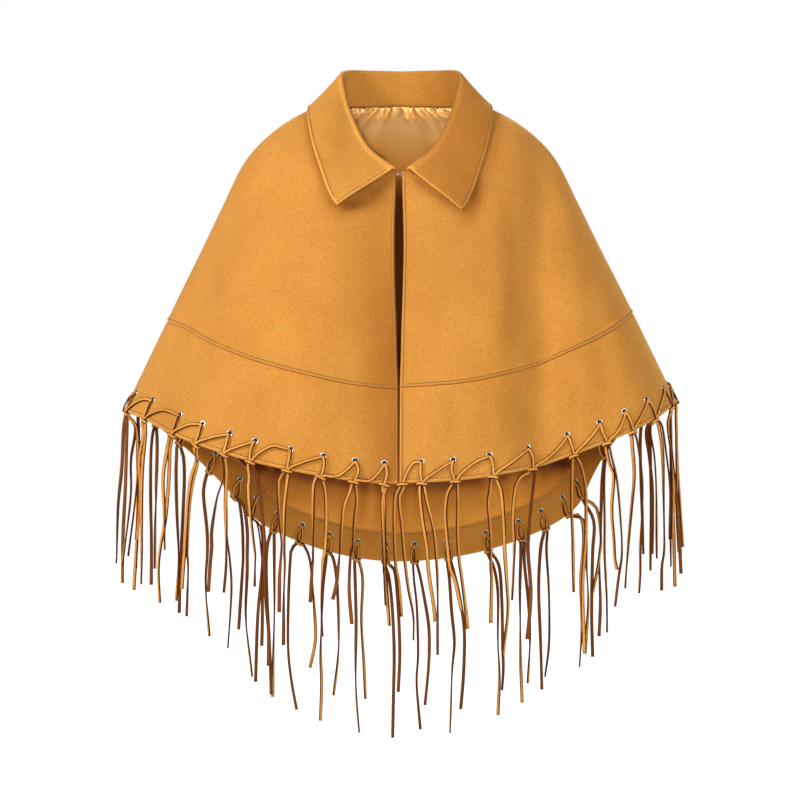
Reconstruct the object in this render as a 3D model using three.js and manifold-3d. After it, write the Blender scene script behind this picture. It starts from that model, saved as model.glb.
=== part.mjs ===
// Fringe cape: a short suede cape, open down the front, with a pointed collar, a seamed hem band,
// metal eyelets along the hem, and a suede cord laced through them whose knots carry the fringe.
// Millimetres, +Z up. The wearer faces -Y. The origin is the centre of the neck opening, level with
// the two points where the neck meets the shoulders.
import * as THREE from "three";
import { mergeVertices } from "three/addons/utils/BufferGeometryUtils.js";
import Module from "manifold-3d";

const wasm = await Module();
wasm.setup();

// Cloth and spacing
const SUEDE = 1.8;
const FACING = 1.2;
const LINING = 1.0;
const COLLAR_WALL = 2.4;
const SEAM_GAP = 0.3;
const LAYER_GAP = 0.6;

// Sections from neck to hem. Each is a ring: its half width at the sides, how far it stands out in
// front and behind, the height of its side, front and back, and how wide the front opening gapes.
const SECTIONS = [
  { name: "neck", half: 80, front: 80, back: 62, sideZ: 6, frontZ: -91, backZ: 11, gape: 8 },
  { name: "collar_edge", half: 117, front: 94, back: 84, sideZ: -2, frontZ: -119, backZ: -6, gape: 9.5 },
  { name: "shoulder", half: 163, front: 110, back: 104, sideZ: -29, frontZ: -151, backZ: -42, gape: 11.5 },
  { name: "upper_arm", half: 201, front: 125, back: 121, sideZ: -68, frontZ: -190, backZ: -97, gape: 12 },
  { name: "chest", half: 231, front: 139, back: 140, sideZ: -127, frontZ: -238, backZ: -170, gape: 9.8 },
  { name: "bust", half: 259, front: 151, back: 158, sideZ: -185, frontZ: -283, backZ: -255, gape: 6.8 },
  { name: "elbow", half: 281, front: 160, back: 178, sideZ: -229, frontZ: -324, backZ: -358, gape: 5 },
  { name: "band_seam", half: 302, front: 168, back: 204, sideZ: -272, frontZ: -363, backZ: -482, gape: 2.6 },
  { name: "hem", half: 357, front: 190, back: 238, sideZ: -386, frontZ: -480, backZ: -605, gape: 1.4 },
];
const BAND_SEAM = 7;
const HEM = 8;
const BAND_WIDTH = 126;

// How square the rings are at the hem
const SQUARENESS = 0.05;

// How a ring falls from its sides: in front, by a power of the distance from the middle, which is
// highest at the neck; behind, by a power of how far round it has come, which changes where the
// deep back folds are. Left and right are as seen from the front.
const FRONT_FALL = { neck: 4, left: 1.85, right: 2.2 };
const BACK_FALL = {
  plain: 2.2,
  left: { side: 3.1, middle: 2.4, from: 0.62, to: 0.8 },
  right: { side: 3.3, middle: 1.8, from: 0.5, to: 0.74 },
};

// The opening lies a little to one side, and the side hems hang at slightly different heights
const OPENING_X = -1.5;
const SIDE_TILT = 6;

// Folds: where each one runs down the cape, in degrees from the front round to the +X side, its
// half width, its depth at the hem (below zero stands out) and the section where it starts
const FOLDS = [
  { name: "front_right_hollow", angle: 34, half: 11, depth: 10, from: 1.5 },
  { name: "front_right_swell", angle: 60, half: 13, depth: -5, from: 3 },
  { name: "back_right_swell", angle: 111, half: 9, depth: -5, from: 4 },
  { name: "back_right_hollow", angle: 130, half: 8, depth: 38, from: 3.5 },
  { name: "back_right_roll", angle: 147, half: 8, depth: -8, from: 4.5 },
  { name: "back_middle_hollow", angle: 184, half: 9, depth: 9, from: 4.5 },
  { name: "back_left_roll", angle: 206, half: 8, depth: -8, from: 4.5 },
  { name: "back_left_hollow", angle: 222, half: 8, depth: 40, from: 3.5 },
  { name: "back_left_swell", angle: 244, half: 10, depth: -4, from: 4 },
  { name: "front_left_hollow", angle: 297, half: 10, depth: 9, from: 2.5 },
  { name: "front_left_swell", angle: 325, half: 13, depth: -5, from: 3 },
];

// Panels meet in seams at the two sides of the body, at 90 and 270 degrees
const FRONT_COLUMNS = 12;
const BACK_COLUMNS = 32;
const FOLD_REACH = 13;
const FOLD_CLOSENESS = 0.035;
const UPPER_ROWS = [0, 1, 2, 3, 4, 5.5, BAND_SEAM];
const EYELET_RISE = 25;
const FACING_RISE = 44;
const EYELET_ROW = HEM - EYELET_RISE / BAND_WIDTH;
const FACING_ROW = HEM - FACING_RISE / BAND_WIDTH;
const BAND_ROWS = [BAND_SEAM, FACING_ROW, HEM];

// The lining is gathered into the neck seam
const GATHERS = 23;
const GATHER_DEPTH = 3.2;
const GATHER_INSET = 0.4;
const GATHER_ROWS = [0.03, 0.3];

// Eyelets, cord and fringe. Each hem has an eyelet and a knot at each of its angles, about 48 mm
// apart, and strands from the shortest length to that much longer.
const EYELET = { hole: 2.2, barrel: 2.9, flange: 4.1, rim: 0.7, seat: 0.4, sides: 6 };
const CORD = { width: 3.6, thickness: 1.6, slope: 1.1, lift: 1.5 };
const KNOT = { width: 8, height: 4.5, drop: 0.5, cover: 0.4 };
const STRAND = { width: 3.4, thickness: 1.4, pieces: 2, rootOff: 0.4, rootApart: 2.1, sway: 3, swing: 4 };
const FRINGES = [
  {
    name: "fringe_front_right", shortest: 160, spread: 62, startKnot: 4,
    angles: [4, 10, 17, 25.5, 35, 43.5, 51, 60, 73, 86],
  },
  {
    name: "fringe_back", shortest: 182, spread: 62, lined: true,
    angles: [
      97, 107, 115.5, 126.5, 135, 142, 148.5, 154, 161.5, 170, 177, 183,
      189, 195, 201, 207, 214, 221, 227.3, 235, 244, 255, 266,
    ],
  },
  {
    name: "fringe_front_left", shortest: 160, spread: 62,
    angles: [282.5, 295, 310.5, 318.5, 326, 332, 339.5, 346, 352, 357.5],
  },
];

// The metal hook and eye behind the top of the opening
const HOOK = { wire: 0.8, row: 0.06, reach: 10, ring: 2.2, ringX: 1.5, curl: 1.3 };

const colour = (r, g, b) => new THREE.Color().setRGB(r, g, b, THREE.SRGBColorSpace);
const MATERIALS = {
  suede: new THREE.MeshStandardMaterial({ color: colour(0.86, 0.59, 0.29), roughness: 0.95 }),
  lining: new THREE.MeshStandardMaterial({ color: colour(0.82, 0.57, 0.3), roughness: 0.45 }),
  cord: new THREE.MeshStandardMaterial({ color: colour(0.7, 0.42, 0.16), roughness: 0.9 }),
  metal: new THREE.MeshStandardMaterial({ color: colour(0.8, 0.8, 0.8), roughness: 0.25, metalness: 1 }),
};

const radians = THREE.MathUtils.degToRad;
const smooth = (low, high, x) => THREE.MathUtils.smoothstep(x, low, high);

// A value of the section table between its rows, on a smooth curve
function sectionValue(key, row) {
  const last = SECTIONS.length - 1;
  const index = Math.min(Math.floor(row), last - 1);
  const at = (i) => SECTIONS[THREE.MathUtils.clamp(i, 0, last)][key];
  const before = index === 0 ? 2 * at(0) - at(1) : at(index - 1);
  const after = index === last - 1 ? 2 * at(last) - at(last - 1) : at(index + 2);
  const [a, b, c, d] = [before, at(index), at(index + 1), after];
  const t = row - index;
  const cubic = -a + 3 * b - 3 * c + d;
  const square = 2 * a - 5 * b + 4 * c - d;
  return b + 0.5 * t * (c - a + t * (square + t * cubic));
}

function foldDepth(angle, row) {
  let depth = 0;
  for (const fold of FOLDS) {
    const away = (angle - fold.angle) / fold.half;
    depth += fold.depth * Math.exp(-away * away) * smooth(fold.from, HEM, row);
  }
  return depth;
}

const frontPower = (onRight, row) =>
  THREE.MathUtils.lerp(FRONT_FALL.neck, onRight ? FRONT_FALL.right : FRONT_FALL.left, smooth(0, 2, row));

function backPower(forward, onRight, row) {
  const fall = onRight ? BACK_FALL.right : BACK_FALL.left;
  const atHem = THREE.MathUtils.lerp(fall.side, fall.middle, smooth(fall.from, fall.to, forward));
  return THREE.MathUtils.lerp(BACK_FALL.plain, atHem, smooth(5.6, HEM, row));
}

// The outside of the cloth: angle in degrees round the body, row down the section table
function outside(angle, row) {
  const turn = radians(angle);
  const square = SQUARENESS * smooth(2, HEM, row) * Math.sin(2 * turn);
  const across = Math.sin(turn + square);
  const forward = Math.cos(turn - square);
  const inFront = forward > 0;
  const half = sectionValue("half", row);
  const depth = sectionValue(inFront ? "front" : "back", row);
  const endZ = sectionValue(inFront ? "frontZ" : "backZ", row);
  const sideZ = sectionValue("sideZ", row) + (SIDE_TILT * across * row) / HEM;
  const opening = inFront ? forward * forward : 0;
  const gape = (sectionValue("gape", row) / 2) * (angle <= 180 ? 1 : -1);
  const inward = foldDepth(angle, row);
  const slope = new THREE.Vector2(across / half, -forward / depth).normalize();
  const onRight = across > 0;
  const share = inFront
    ? Math.abs(across) ** frontPower(onRight, row)
    : 1 - Math.abs(forward) ** backPower(Math.abs(forward), onRight, row);
  return new THREE.Vector3(
    half * across + (gape + OPENING_X) * opening - slope.x * inward,
    -depth * forward - slope.y * inward,
    endZ + (sideZ - endZ) * share,
  );
}

// The cloth's directions at a point: round the body, down towards the hem, and straight out
function frameAt(angle, row) {
  const step = 0.05;
  const low = Math.max(row - step, 0);
  const high = Math.min(row + step, HEM);
  const left = angle > 180 && angle + step > 360 ? angle - step : angle;
  const right = angle < 180 && angle - step < 0 ? angle + step : angle;
  const further = outside(Math.min(right + step, 360), row);
  const round = further.sub(outside(Math.max(left - step, 0), row)).normalize();
  const down = outside(angle, high).sub(outside(angle, low)).normalize();
  const out = new THREE.Vector3().crossVectors(round, down).negate().normalize();
  return { round, down, out };
}

const onCloth = (angle, row, off) => outside(angle, row).addScaledVector(frameAt(angle, row).out, off);

// Steps along a row from one angle to another, used to space things evenly by their length, which
// a weight may make longer in some places
function angleAlong(from, to, row, weight = () => 1) {
  const steps = 240;
  const angles = [from];
  const lengths = [0];
  for (let i = 1; i <= steps; i++) {
    const angle = from + ((to - from) * i) / steps;
    const piece = outside(angle, row).distanceTo(outside(angles[i - 1], row)) * weight(angle);
    angles.push(angle);
    lengths.push(lengths[i - 1] + piece);
  }
  const total = lengths[steps];
  const at = (distance) => {
    let i = 1;
    while (i < steps && lengths[i] < distance) i++;
    const share = (distance - lengths[i - 1]) / (lengths[i] - lengths[i - 1]);
    return angles[i - 1] + (angles[i] - angles[i - 1]) * share;
  };
  return { total, at };
}

// Angles of a panel's columns, closest together in the deepest folds
function columnAngles(from, to, count) {
  const closeness = (angle) =>
    FOLDS.reduce((sum, fold) => {
      const away = (angle - fold.angle) / FOLD_REACH;
      return sum + Math.abs(fold.depth) * Math.exp(-away * away);
    }, 0);
  const hem = angleAlong(from, to, HEM, (angle) => 1 + FOLD_CLOSENESS * closeness(angle));
  return Array.from({ length: count + 1 }, (_, i) => hem.at((hem.total * i) / count));
}

// Faces between two rows of points that may have different counts
function zip(first, firstCount, second, secondCount, face) {
  let i = 0;
  let j = 0;
  while (i < firstCount - 1 || j < secondCount - 1) {
    const firstNext = (i + 1) / (firstCount - 1);
    const secondNext = (j + 1) / (secondCount - 1);
    if (j === secondCount - 1 || (i < firstCount - 1 && firstNext < secondNext - 1e-9)) {
      face(first + i, second + j, first + i + 1);
      i += 1;
    } else {
      face(first + i, second + j, second + j + 1);
      j += 1;
    }
  }
}

// A closed wall between two grids of points, each a list of rows from the top down
function wall(outer, inner) {
  const starts = [];
  let count = 0;
  for (const row of outer) {
    starts.push(count);
    count += row.length;
  }
  const faces = [];
  const face = (a, b, c) => faces.push(a, b, c);
  const edge = (a, b) => faces.push(a, b, b + count, a, b + count, a + count);
  const end = (r) => starts[r] + outer[r].length - 1;
  for (let r = 0; r + 1 < outer.length; r++) {
    const next = outer[r + 1].length;
    zip(starts[r], outer[r].length, starts[r + 1], next, face);
    zip(starts[r], outer[r].length, starts[r + 1], next, (a, b, c) => face(a + count, c + count, b + count));
    edge(starts[r + 1], starts[r]);
    edge(end(r), end(r + 1));
  }
  const last = outer.length - 1;
  for (let c = 0; c + 1 < outer[0].length; c++) edge(c, c + 1);
  for (let c = 0; c + 1 < outer[last].length; c++) edge(starts[last] + c + 1, starts[last] + c);
  return geometryOf([...outer.flat(), ...inner.flat()], faces);
}

function geometryOf(points, faces) {
  const geometry = new THREE.BufferGeometry().setFromPoints(points);
  geometry.setIndex(faces);
  geometry.computeVertexNormals();
  return geometry;
}

// A strip of one section along points; flat gives the direction out of its face at each
const FLAT_SECTION = [[-1, -1], [1, -1], [1, 1], [-1, 1]];
const RIDGED_SECTION = [[-1, -1], [1, -1], [0, 1]];
function strip(points, flat, width, thickness, section = FLAT_SECTION) {
  const sides = section.length;
  const rings = points.map((point, i) => {
    const along = points[Math.min(i + 1, points.length - 1)].clone().sub(points[Math.max(i - 1, 0)]);
    const up = flat[i].clone().projectOnPlane(along.normalize()).normalize();
    const side = new THREE.Vector3().crossVectors(up, along);
    return section.map(([s, u]) =>
      point.clone().addScaledVector(side, (s * width) / 2).addScaledVector(up, (u * thickness) / 2),
    );
  });
  const faces = [];
  for (let i = 0; i + 1 < rings.length; i++) {
    for (let k = 0; k < sides; k++) {
      const [a, b] = [sides * i + k, sides * i + ((k + 1) % sides)];
      faces.push(a, b, b + sides, a, b + sides, a + sides);
    }
  }
  const end = sides * (rings.length - 1);
  for (let k = 2; k < sides; k++) faces.push(0, k, k - 1, end, end + k - 1, end + k);
  return geometryOf(rings.flat(), faces);
}

// Joining and cutting
function solidOf(geometry) {
  const bare = geometry.clone();
  bare.deleteAttribute("normal");
  bare.deleteAttribute("uv");
  const merged = mergeVertices(bare, 1e-3);
  return new wasm.Manifold(
    new wasm.Mesh({
      numProp: 3,
      vertProperties: merged.attributes.position.array,
      triVerts: new Uint32Array(merged.index.array),
    }),
  );
}

function fromSolid(solid) {
  const mesh = solid.getMesh();
  const geometry = new THREE.BufferGeometry();
  geometry.setAttribute("position", new THREE.BufferAttribute(Float32Array.from(mesh.vertProperties), 3));
  geometry.setIndex([...mesh.triVerts]);
  geometry.computeVertexNormals();
  return geometry;
}

const joined = (geometries) => fromSolid(geometries.map(solidOf).reduce((all, one) => all.add(one)));
const cut = (geometry, tools) =>
  fromSolid(tools.map(solidOf).reduce((all, one) => all.subtract(one), solidOf(geometry)));

const cape = new THREE.Group();
function addMesh(name, geometry, material) {
  const mesh = new THREE.Mesh(geometry, material);
  mesh.name = name;
  cape.add(mesh);
}

// Panels of the cape, each held back from its side seams by half the gap
function panelGrid(angles, rows, off) {
  const last = angles.length - 1;
  const heldBack = (i) => (i === 0 ? SEAM_GAP / 2 : i === last ? -SEAM_GAP / 2 : 0);
  const point = (angle, row, i) =>
    onCloth(angle, row, off).addScaledVector(frameAt(angle, row).round, heldBack(i));
  return rows.map((row) => angles.map((angle, i) => point(angle, row, i)));
}
const panel = (angles, rows, top, bottom) =>
  wall(panelGrid(angles, rows, top), panelGrid(angles, rows, bottom));

// Rows of a panel with its first and last edges held back from the seams they meet
function trimmed(rows, first, last) {
  const edge = [...rows];
  edge[0] += first;
  edge[edge.length - 1] -= last;
  return edge;
}

const PANELS = [
  { side: "front_right", angles: columnAngles(0, 90, FRONT_COLUMNS) },
  { side: "back", angles: columnAngles(90, 270, BACK_COLUMNS) },
  { side: "front_left", angles: columnAngles(270, 360, FRONT_COLUMNS) },
];
const BACK_ANGLES = PANELS[1].angles;

// The flat of a band panel at an angle and row: a point so far off it, and its directions
function flatOf(angles, angle, row) {
  let column = 0;
  while (column < angles.length - 2 && angles[column + 1] < angle) column += 1;
  let line = 0;
  while (line < BAND_ROWS.length - 2 && BAND_ROWS[line + 1] < row) line += 1;
  const across = (angle - angles[column]) / (angles[column + 1] - angles[column]);
  const fall = (row - BAND_ROWS[line]) / (BAND_ROWS[line + 1] - BAND_ROWS[line]);
  const corner = (c, r, off) => onCloth(angles[column + c], BAND_ROWS[line + r], off);
  const edgePoint = (r, off) => corner(0, r, off).lerp(corner(1, r, off), across);
  const point = (off) => edgePoint(0, off).lerp(edgePoint(1, off), fall);
  const upperEdge = corner(1, 0, 0).sub(corner(0, 0, 0));
  const round = upperEdge.lerp(corner(1, 1, 0).sub(corner(0, 1, 0)), fall).normalize();
  const down = corner(0, 1, 0).add(corner(1, 1, 0)).sub(corner(0, 0, 0)).sub(corner(1, 0, 0)).normalize();
  const out = new THREE.Vector3().crossVectors(down, round).normalize();
  return { point, round, down, out };
}

// A piece made along +Z is turned to stand out of a band at an angle
function standOut(geometry, angles, angle) {
  const { point, round, out } = flatOf(angles, angle, EYELET_ROW);
  const up = new THREE.Vector3().crossVectors(out, round);
  const place = new THREE.Matrix4().makeBasis(round, up, out).setPosition(point(0));
  return geometry.clone().applyMatrix4(place);
}

function eyeletGeometry(stack) {
  const { hole, barrel, flange, rim, sides } = EYELET;
  const profile = [
    new THREE.Vector2(barrel, -stack - rim),
    new THREE.Vector2(barrel, EYELET.seat),
    new THREE.Vector2(flange, EYELET.seat),
    new THREE.Vector2(hole, EYELET.seat + rim),
    new THREE.Vector2(barrel, -stack - rim),
  ];
  return new THREE.LatheGeometry(profile, sides).rotateX(Math.PI / 2);
}

const HOLE_RADIUS = EYELET.barrel + SEAM_GAP;
const HOLE_LENGTH = 24;
const holeGeometry = new THREE.CylinderGeometry(HOLE_RADIUS, HOLE_RADIUS, HOLE_LENGTH, EYELET.sides);
holeGeometry.rotateX(Math.PI / 2);

// The hem's cord, knots and strands. An end is a place on the cloth and how far past the hem it is.
const noise = (seed) => {
  const wave = Math.sin(seed * 12.9898 + 4.1) * 43758.5453;
  return wave - Math.floor(wave);
};

// A cord over the flats of a band, bent wherever it crosses from one to the next
function cordOver(angles, from, to, thickness) {
  const crossings = angles.slice(1, -1).filter((angle) => angle > from.angle + 0.2 && angle < to.angle - 0.2);
  const points = [];
  const flat = [];
  for (const angle of [from.angle, ...crossings, to.angle]) {
    const t = to.angle > from.angle ? (angle - from.angle) / (to.angle - from.angle) : points.length;
    const { point, down, out } = flatOf(angles, angle, THREE.MathUtils.lerp(from.row, to.row, t));
    const past = THREE.MathUtils.lerp(from.past, to.past, t);
    points.push(point(from.off).addScaledVector(down, past));
    flat.push(out);
  }
  return strip(points, flat, CORD.width, thickness);
}

function knotAt(angles, angle, innerOff) {
  const { point, round, out } = flatOf(angles, angle, HEM);
  const down = new THREE.Vector3().crossVectors(round, out);
  const outer = CORD.lift + CORD.thickness + KNOT.cover;
  const inner = innerOff - KNOT.cover;
  const centre = point((outer + inner) / 2).addScaledVector(down, KNOT.drop + KNOT.height / 2);
  const ends = [-KNOT.width / 2, KNOT.width / 2].map((x) => centre.clone().addScaledVector(round, x));
  return strip(ends, [out, out], KNOT.height, outer - inner);
}

function strandAt(angles, angle, seed, way, hem) {
  const { point, round, down, out } = flatOf(angles, angle, HEM);
  const length = hem.shortest + hem.spread * noise(seed);
  const level = round.clone().setZ(0).normalize();
  const away = out.clone().setZ(0).normalize();
  const root = point(STRAND.rootOff).addScaledVector(down, KNOT.drop + KNOT.height * 0.6);
  root.addScaledVector(round, way * STRAND.rootApart);
  const turn = (noise(seed + 31) - 0.5) * 1.6;
  const sway = way * (STRAND.sway + STRAND.swing * noise(seed + 7));
  const bow = STRAND.swing * (noise(seed + 13) - 0.5);
  const points = [];
  const flat = [];
  for (let i = 0; i <= STRAND.pieces; i++) {
    const t = i / STRAND.pieces;
    const point = root.clone();
    point.z -= length * t;
    point.addScaledVector(level, sway * Math.sin(t * 1.9) + bow * Math.sin(t * Math.PI * 2));
    point.addScaledVector(away, 3 * t * noise(seed + 19));
    points.push(point);
    flat.push(away.clone().applyAxisAngle(new THREE.Vector3(0, 0, 1), turn * t));
  }
  return strip(points, flat, STRAND.width, STRAND.thickness, RIDGED_SECTION);
}

function fringe(hem, angles, eyelets, before) {
  const stack = hem.lined ? SUEDE + LAYER_GAP + FACING : SUEDE;
  const innerOff = -stack - EYELET.rim - SEAM_GAP - CORD.thickness;
  const outerMiddle = CORD.lift + CORD.thickness / 2;
  const innerMiddle = innerOff + CORD.thickness / 2;
  const past = KNOT.drop + KNOT.height / 2;
  const first = hem.startKnot ? [angleAlong(angles[0], angles[1], HEM).at(hem.startKnot)] : [];
  const knots = [...first, ...eyelets];
  const pieces = knots.flatMap((angle, i) => [
    knotAt(angles, angle, innerOff),
    strandAt(angles, angle, angles[0] + i * 2.7, -1, hem),
    strandAt(angles, angle, angles[0] + i * 2.7 + 1.3, 1, hem),
  ]);
  eyelets.forEach((angle, i) => {
    const top = { angle, row: EYELET_ROW, off: outerMiddle, past: 0 };
    const foot = { angle, row: HEM, off: outerMiddle, past };
    const inside = { off: innerMiddle };
    const last = hem.startKnot ? knots[i] : (eyelets[i - 1] ?? before);
    pieces.push(cordOver(angles, top, foot, CORD.thickness));
    pieces.push(cordOver(angles, { ...foot, angle: last }, top, CORD.slope));
    if (!hem.lined) return;
    pieces.push(cordOver(angles, { ...top, ...inside }, { ...foot, ...inside }, CORD.thickness));
  });
  return joined(pieces);
}

// Upper panels, band panels with their eyelet holes, eyelets and fringe
const SEAM_TRIM = 0.006;
const rowTrim = SEAM_GAP / 2 / BAND_WIDTH;
const eyelets = FRINGES.map((hem) => hem.angles);
const eyeletStack = (i) => (FRINGES[i].lined ? SUEDE + LAYER_GAP + FACING : SUEDE);
let eyeletNumber = 0;
PANELS.forEach(({ side, angles }, i) => {
  const holes = eyelets[i].map((angle) => standOut(holeGeometry, angles, angle));
  addMesh(side, panel(angles, trimmed(UPPER_ROWS, 0, SEAM_TRIM), 0, -SUEDE), MATERIALS.suede);
  const band = panel(angles, trimmed(BAND_ROWS, rowTrim, 0), 0, -SUEDE);
  addMesh("band_" + side, cut(band, holes), MATERIALS.suede);
  for (const angle of eyelets[i]) {
    eyeletNumber += 1;
    const name = "eyelet_" + String(eyeletNumber).padStart(2, "0");
    addMesh(name, standOut(eyeletGeometry(eyeletStack(i)), angles, angle), MATERIALS.metal);
  }
  addMesh(FRINGES[i].name, fringe(FRINGES[i], angles, eyelets[i], angles[0] + 0.4), MATERIALS.cord);
});

// Facing inside the back hem
const facingTop = -SUEDE - LAYER_GAP;
const facingRows = trimmed([FACING_ROW, HEM], 0, 1 / BAND_WIDTH);
const facing = panel(BACK_ANGLES, facingRows, facingTop, facingTop - FACING);
const backHoles = eyelets[1].map((angle) => standOut(holeGeometry, BACK_ANGLES, angle));
addMesh("facing_back", cut(facing, backHoles), MATERIALS.suede);

// Lining inside the back. Its gathered top rows have a fold and a hollow to each gather, and the rows
// below have the panel's own columns.
function gatheredRow(row, off) {
  const count = GATHERS * 2;
  return Array.from({ length: count + 1 }, (_, i) => {
    const column = (i / count) * BACK_COLUMNS;
    const index = Math.min(Math.floor(column), BACK_COLUMNS - 1);
    const angle = THREE.MathUtils.lerp(BACK_ANGLES[index], BACK_ANGLES[index + 1], column - index);
    return onCloth(angle, row, off - GATHER_INSET - (i % 2) * GATHER_DEPTH * (1 - row));
  });
}
const liningRows = [...UPPER_ROWS.slice(1), FACING_ROW - rowTrim * 2];
const liningGrid = (off) => [
  ...GATHER_ROWS.map((row) => gatheredRow(row, off)),
  ...panelGrid(BACK_ANGLES, liningRows, off),
];
addMesh("lining_back", wall(liningGrid(facingTop), liningGrid(facingTop - LINING)), MATERIALS.lining);

// Collar: stations from the middle of the back to the front end of one half. The neck angle is where
// it joins the neck seam, the roll is the fold along its top, and its free edge lies on the cape at
// an angle and section row.
const COLLAR_STATIONS = [
  { name: "middle_back", neck: 180, rollX: 0, rollY: 61, rollZ: 55, edge: 180, edgeRow: 1 },
  { name: "back", neck: 148, rollX: 44, rollY: 53, rollZ: 55, edge: 150, edgeRow: 1 },
  { name: "back_side", neck: 118, rollX: 72, rollY: 31, rollZ: 52, edge: 118, edgeRow: 1 },
  { name: "side", neck: 92, rollX: 78, rollY: 9, rollZ: 43, edge: 91, edgeRow: 1 },
  { name: "side_front", neck: 78, rollX: 75, rollY: -7, rollZ: 19, edge: 76, edgeRow: 1.1 },
  { name: "front_side", neck: 64, rollX: 66, rollY: -25, rollZ: -12, edge: 61, edgeRow: 1.26 },
  { name: "front", neck: 40, rollX: 44, rollY: -56, rollZ: -57, edge: 43, edgeRow: 1.6 },
  { name: "front_end", neck: 9, rollX: 11, rollY: -87, rollZ: -86, edge: 25, edgeRow: 2.26 },
];
const COLLAR_COLUMNS = 12;
const COLLAR_X = 1.3;
const COLLAR_LIFT = 3.2;
const COLLAR_SPRING = 2.6;
const ROLL_RADIUS = 3;

const stationCurve = (x, y, z) =>
  new THREE.CatmullRomCurve3(COLLAR_STATIONS.map((s) => new THREE.Vector3(s[x] ?? 0, s[y] ?? 0, s[z] ?? 0)));
const rollCurve = stationCurve("rollX", "rollY", "rollZ");
const seamCurve = stationCurve("neck", "edge", "edgeRow");

// One cross section of the collar, from the neck seam over the roll to the free edge: the middle of
// its cloth, and the two points of its bottom edge
function collarSection(t, way) {
  const place = seamCurve.getPoint(t);
  const turned = (angle) => (way > 0 ? angle : 360 - angle);
  const neck = (off) =>
    onCloth(turned(place.x), 0, off).addScaledVector(frameAt(turned(place.x), 0).down, -SEAM_GAP * 1.5);
  const edge = onCloth(turned(place.y), place.z, COLLAR_LIFT);
  const roll = rollCurve.getPoint(t);
  roll.x = way * roll.x + COLLAR_X;
  const foot = neck(-COLLAR_WALL / 2);
  const out = edge.clone().sub(foot).setZ(0).normalize();
  const near = (across, down) => roll.clone().addScaledVector(out, across).setZ(roll.z - down);
  const standTop = near(-ROLL_RADIUS, ROLL_RADIUS);
  const fallTop = near(ROLL_RADIUS, ROLL_RADIUS);
  const fallAt = (share) => {
    const angle = turned(THREE.MathUtils.lerp(place.x, place.y, share));
    const row = place.z * share;
    const point = fallTop.clone().lerp(edge, share);
    const cloth = onCloth(angle, row, COLLAR_LIFT + COLLAR_SPRING);
    const above = frameAt(angle, row).out;
    return point.addScaledVector(above, Math.max(0, cloth.sub(point).dot(above)));
  };
  const middle = [
    foot,
    standTop,
    near(-ROLL_RADIUS * 0.5, ROLL_RADIUS * 0.2),
    near(ROLL_RADIUS * 0.5, ROLL_RADIUS * 0.2),
    fallTop,
    fallAt(0.35),
    fallAt(0.7),
    edge,
  ];
  return { middle, outerFoot: neck(0), innerFoot: neck(-COLLAR_WALL) };
}

function collarGeometry() {
  const sections = [];
  for (let i = COLLAR_COLUMNS; i >= 1; i--) sections.push(collarSection(i / COLLAR_COLUMNS, -1));
  for (let i = 0; i <= COLLAR_COLUMNS; i++) sections.push(collarSection(i / COLLAR_COLUMNS, 1));
  const count = sections.length;
  const moved = (c, j, off) => {
    const line = sections[c].middle;
    const along = sections[Math.min(c + 1, count - 1)].middle[j].clone();
    along.sub(sections[Math.max(c - 1, 0)].middle[j]);
    const across = line[Math.min(j + 1, line.length - 1)].clone().sub(line[Math.max(j - 1, 0)]);
    return line[j].clone().addScaledVector(new THREE.Vector3().crossVectors(along, across).normalize(), off);
  };
  const rows = sections[0].middle.map((_, j) => j);
  const grid = (off, foot) =>
    rows.map((j) => sections.map((section, c) => (j === 0 ? section[foot] : moved(c, j, off))));
  return wall(grid(-COLLAR_WALL / 2, "outerFoot"), grid(COLLAR_WALL / 2, "innerFoot"));
}
addMesh("collar", collarGeometry(), MATERIALS.suede);

// The hook and the eye lie behind the two fronts and meet in the gape. Places are across the cape
// from the middle of the gape and behind that plane.
const gapeMiddle = outside(0, HOOK.row).lerp(outside(360, HOOK.row), 0.5);
const gapeOut = frameAt(0, HOOK.row).out.setX(0).normalize();
const sideways = new THREE.Vector3(1, 0, 0);
const behind = SUEDE + SEAM_GAP + HOOK.wire / 2;
const gapePoint = (x, back) =>
  gapeMiddle.clone().addScaledVector(sideways, x).addScaledVector(gapeOut, -behind - back);

function hookGeometry() {
  const { reach, curl, ringX, wire } = HOOK;
  const path = [[-reach, 0], [-3, curl], [0.2, curl], [ringX, 0], [0.2, -curl], [-2.6, -curl]];
  const points = path.map(([x, back]) => gapePoint(x, back));
  return strip(points, points.map(() => gapeOut.clone().cross(sideways)), wire, wire);
}

function eyeGeometry() {
  const { reach, ring, ringX, wire } = HOOK;
  const half = wire / 2;
  const section = [[-half, -half], [half, -half], [half, half], [-half, half], [-half, -half]];
  const hoop = new THREE.LatheGeometry(section.map(([r, y]) => new THREE.Vector2(ring + r, y)), 8);
  const up = new THREE.Vector3().crossVectors(sideways, gapeOut);
  hoop.applyMatrix4(new THREE.Matrix4().makeBasis(sideways, gapeOut, up).setPosition(gapePoint(ringX, 0)));
  const arm = strip([gapePoint(ringX + ring, 0), gapePoint(reach, 0)], [gapeOut, gapeOut], wire, wire);
  return joined([hoop, arm]);
}
addMesh("hook", hookGeometry(), MATERIALS.metal);
addMesh("eye", eyeGeometry(), MATERIALS.metal);

export default cape;
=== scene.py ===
"""Fringe cape: the looks of a short suede cape with a pointed collar, a laced hem and a fringe.

Shapes are worked out in millimetres, with +Z up and the wearer facing -Y, and put in the scene in
metres. A place on the cloth is an angle in degrees, from the front round to the +X side, and a row
down the table of sections, from 0 at the neck to 8 at the hem. Left and right are the viewer's, so the
right is +X.
"""

import math

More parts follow.
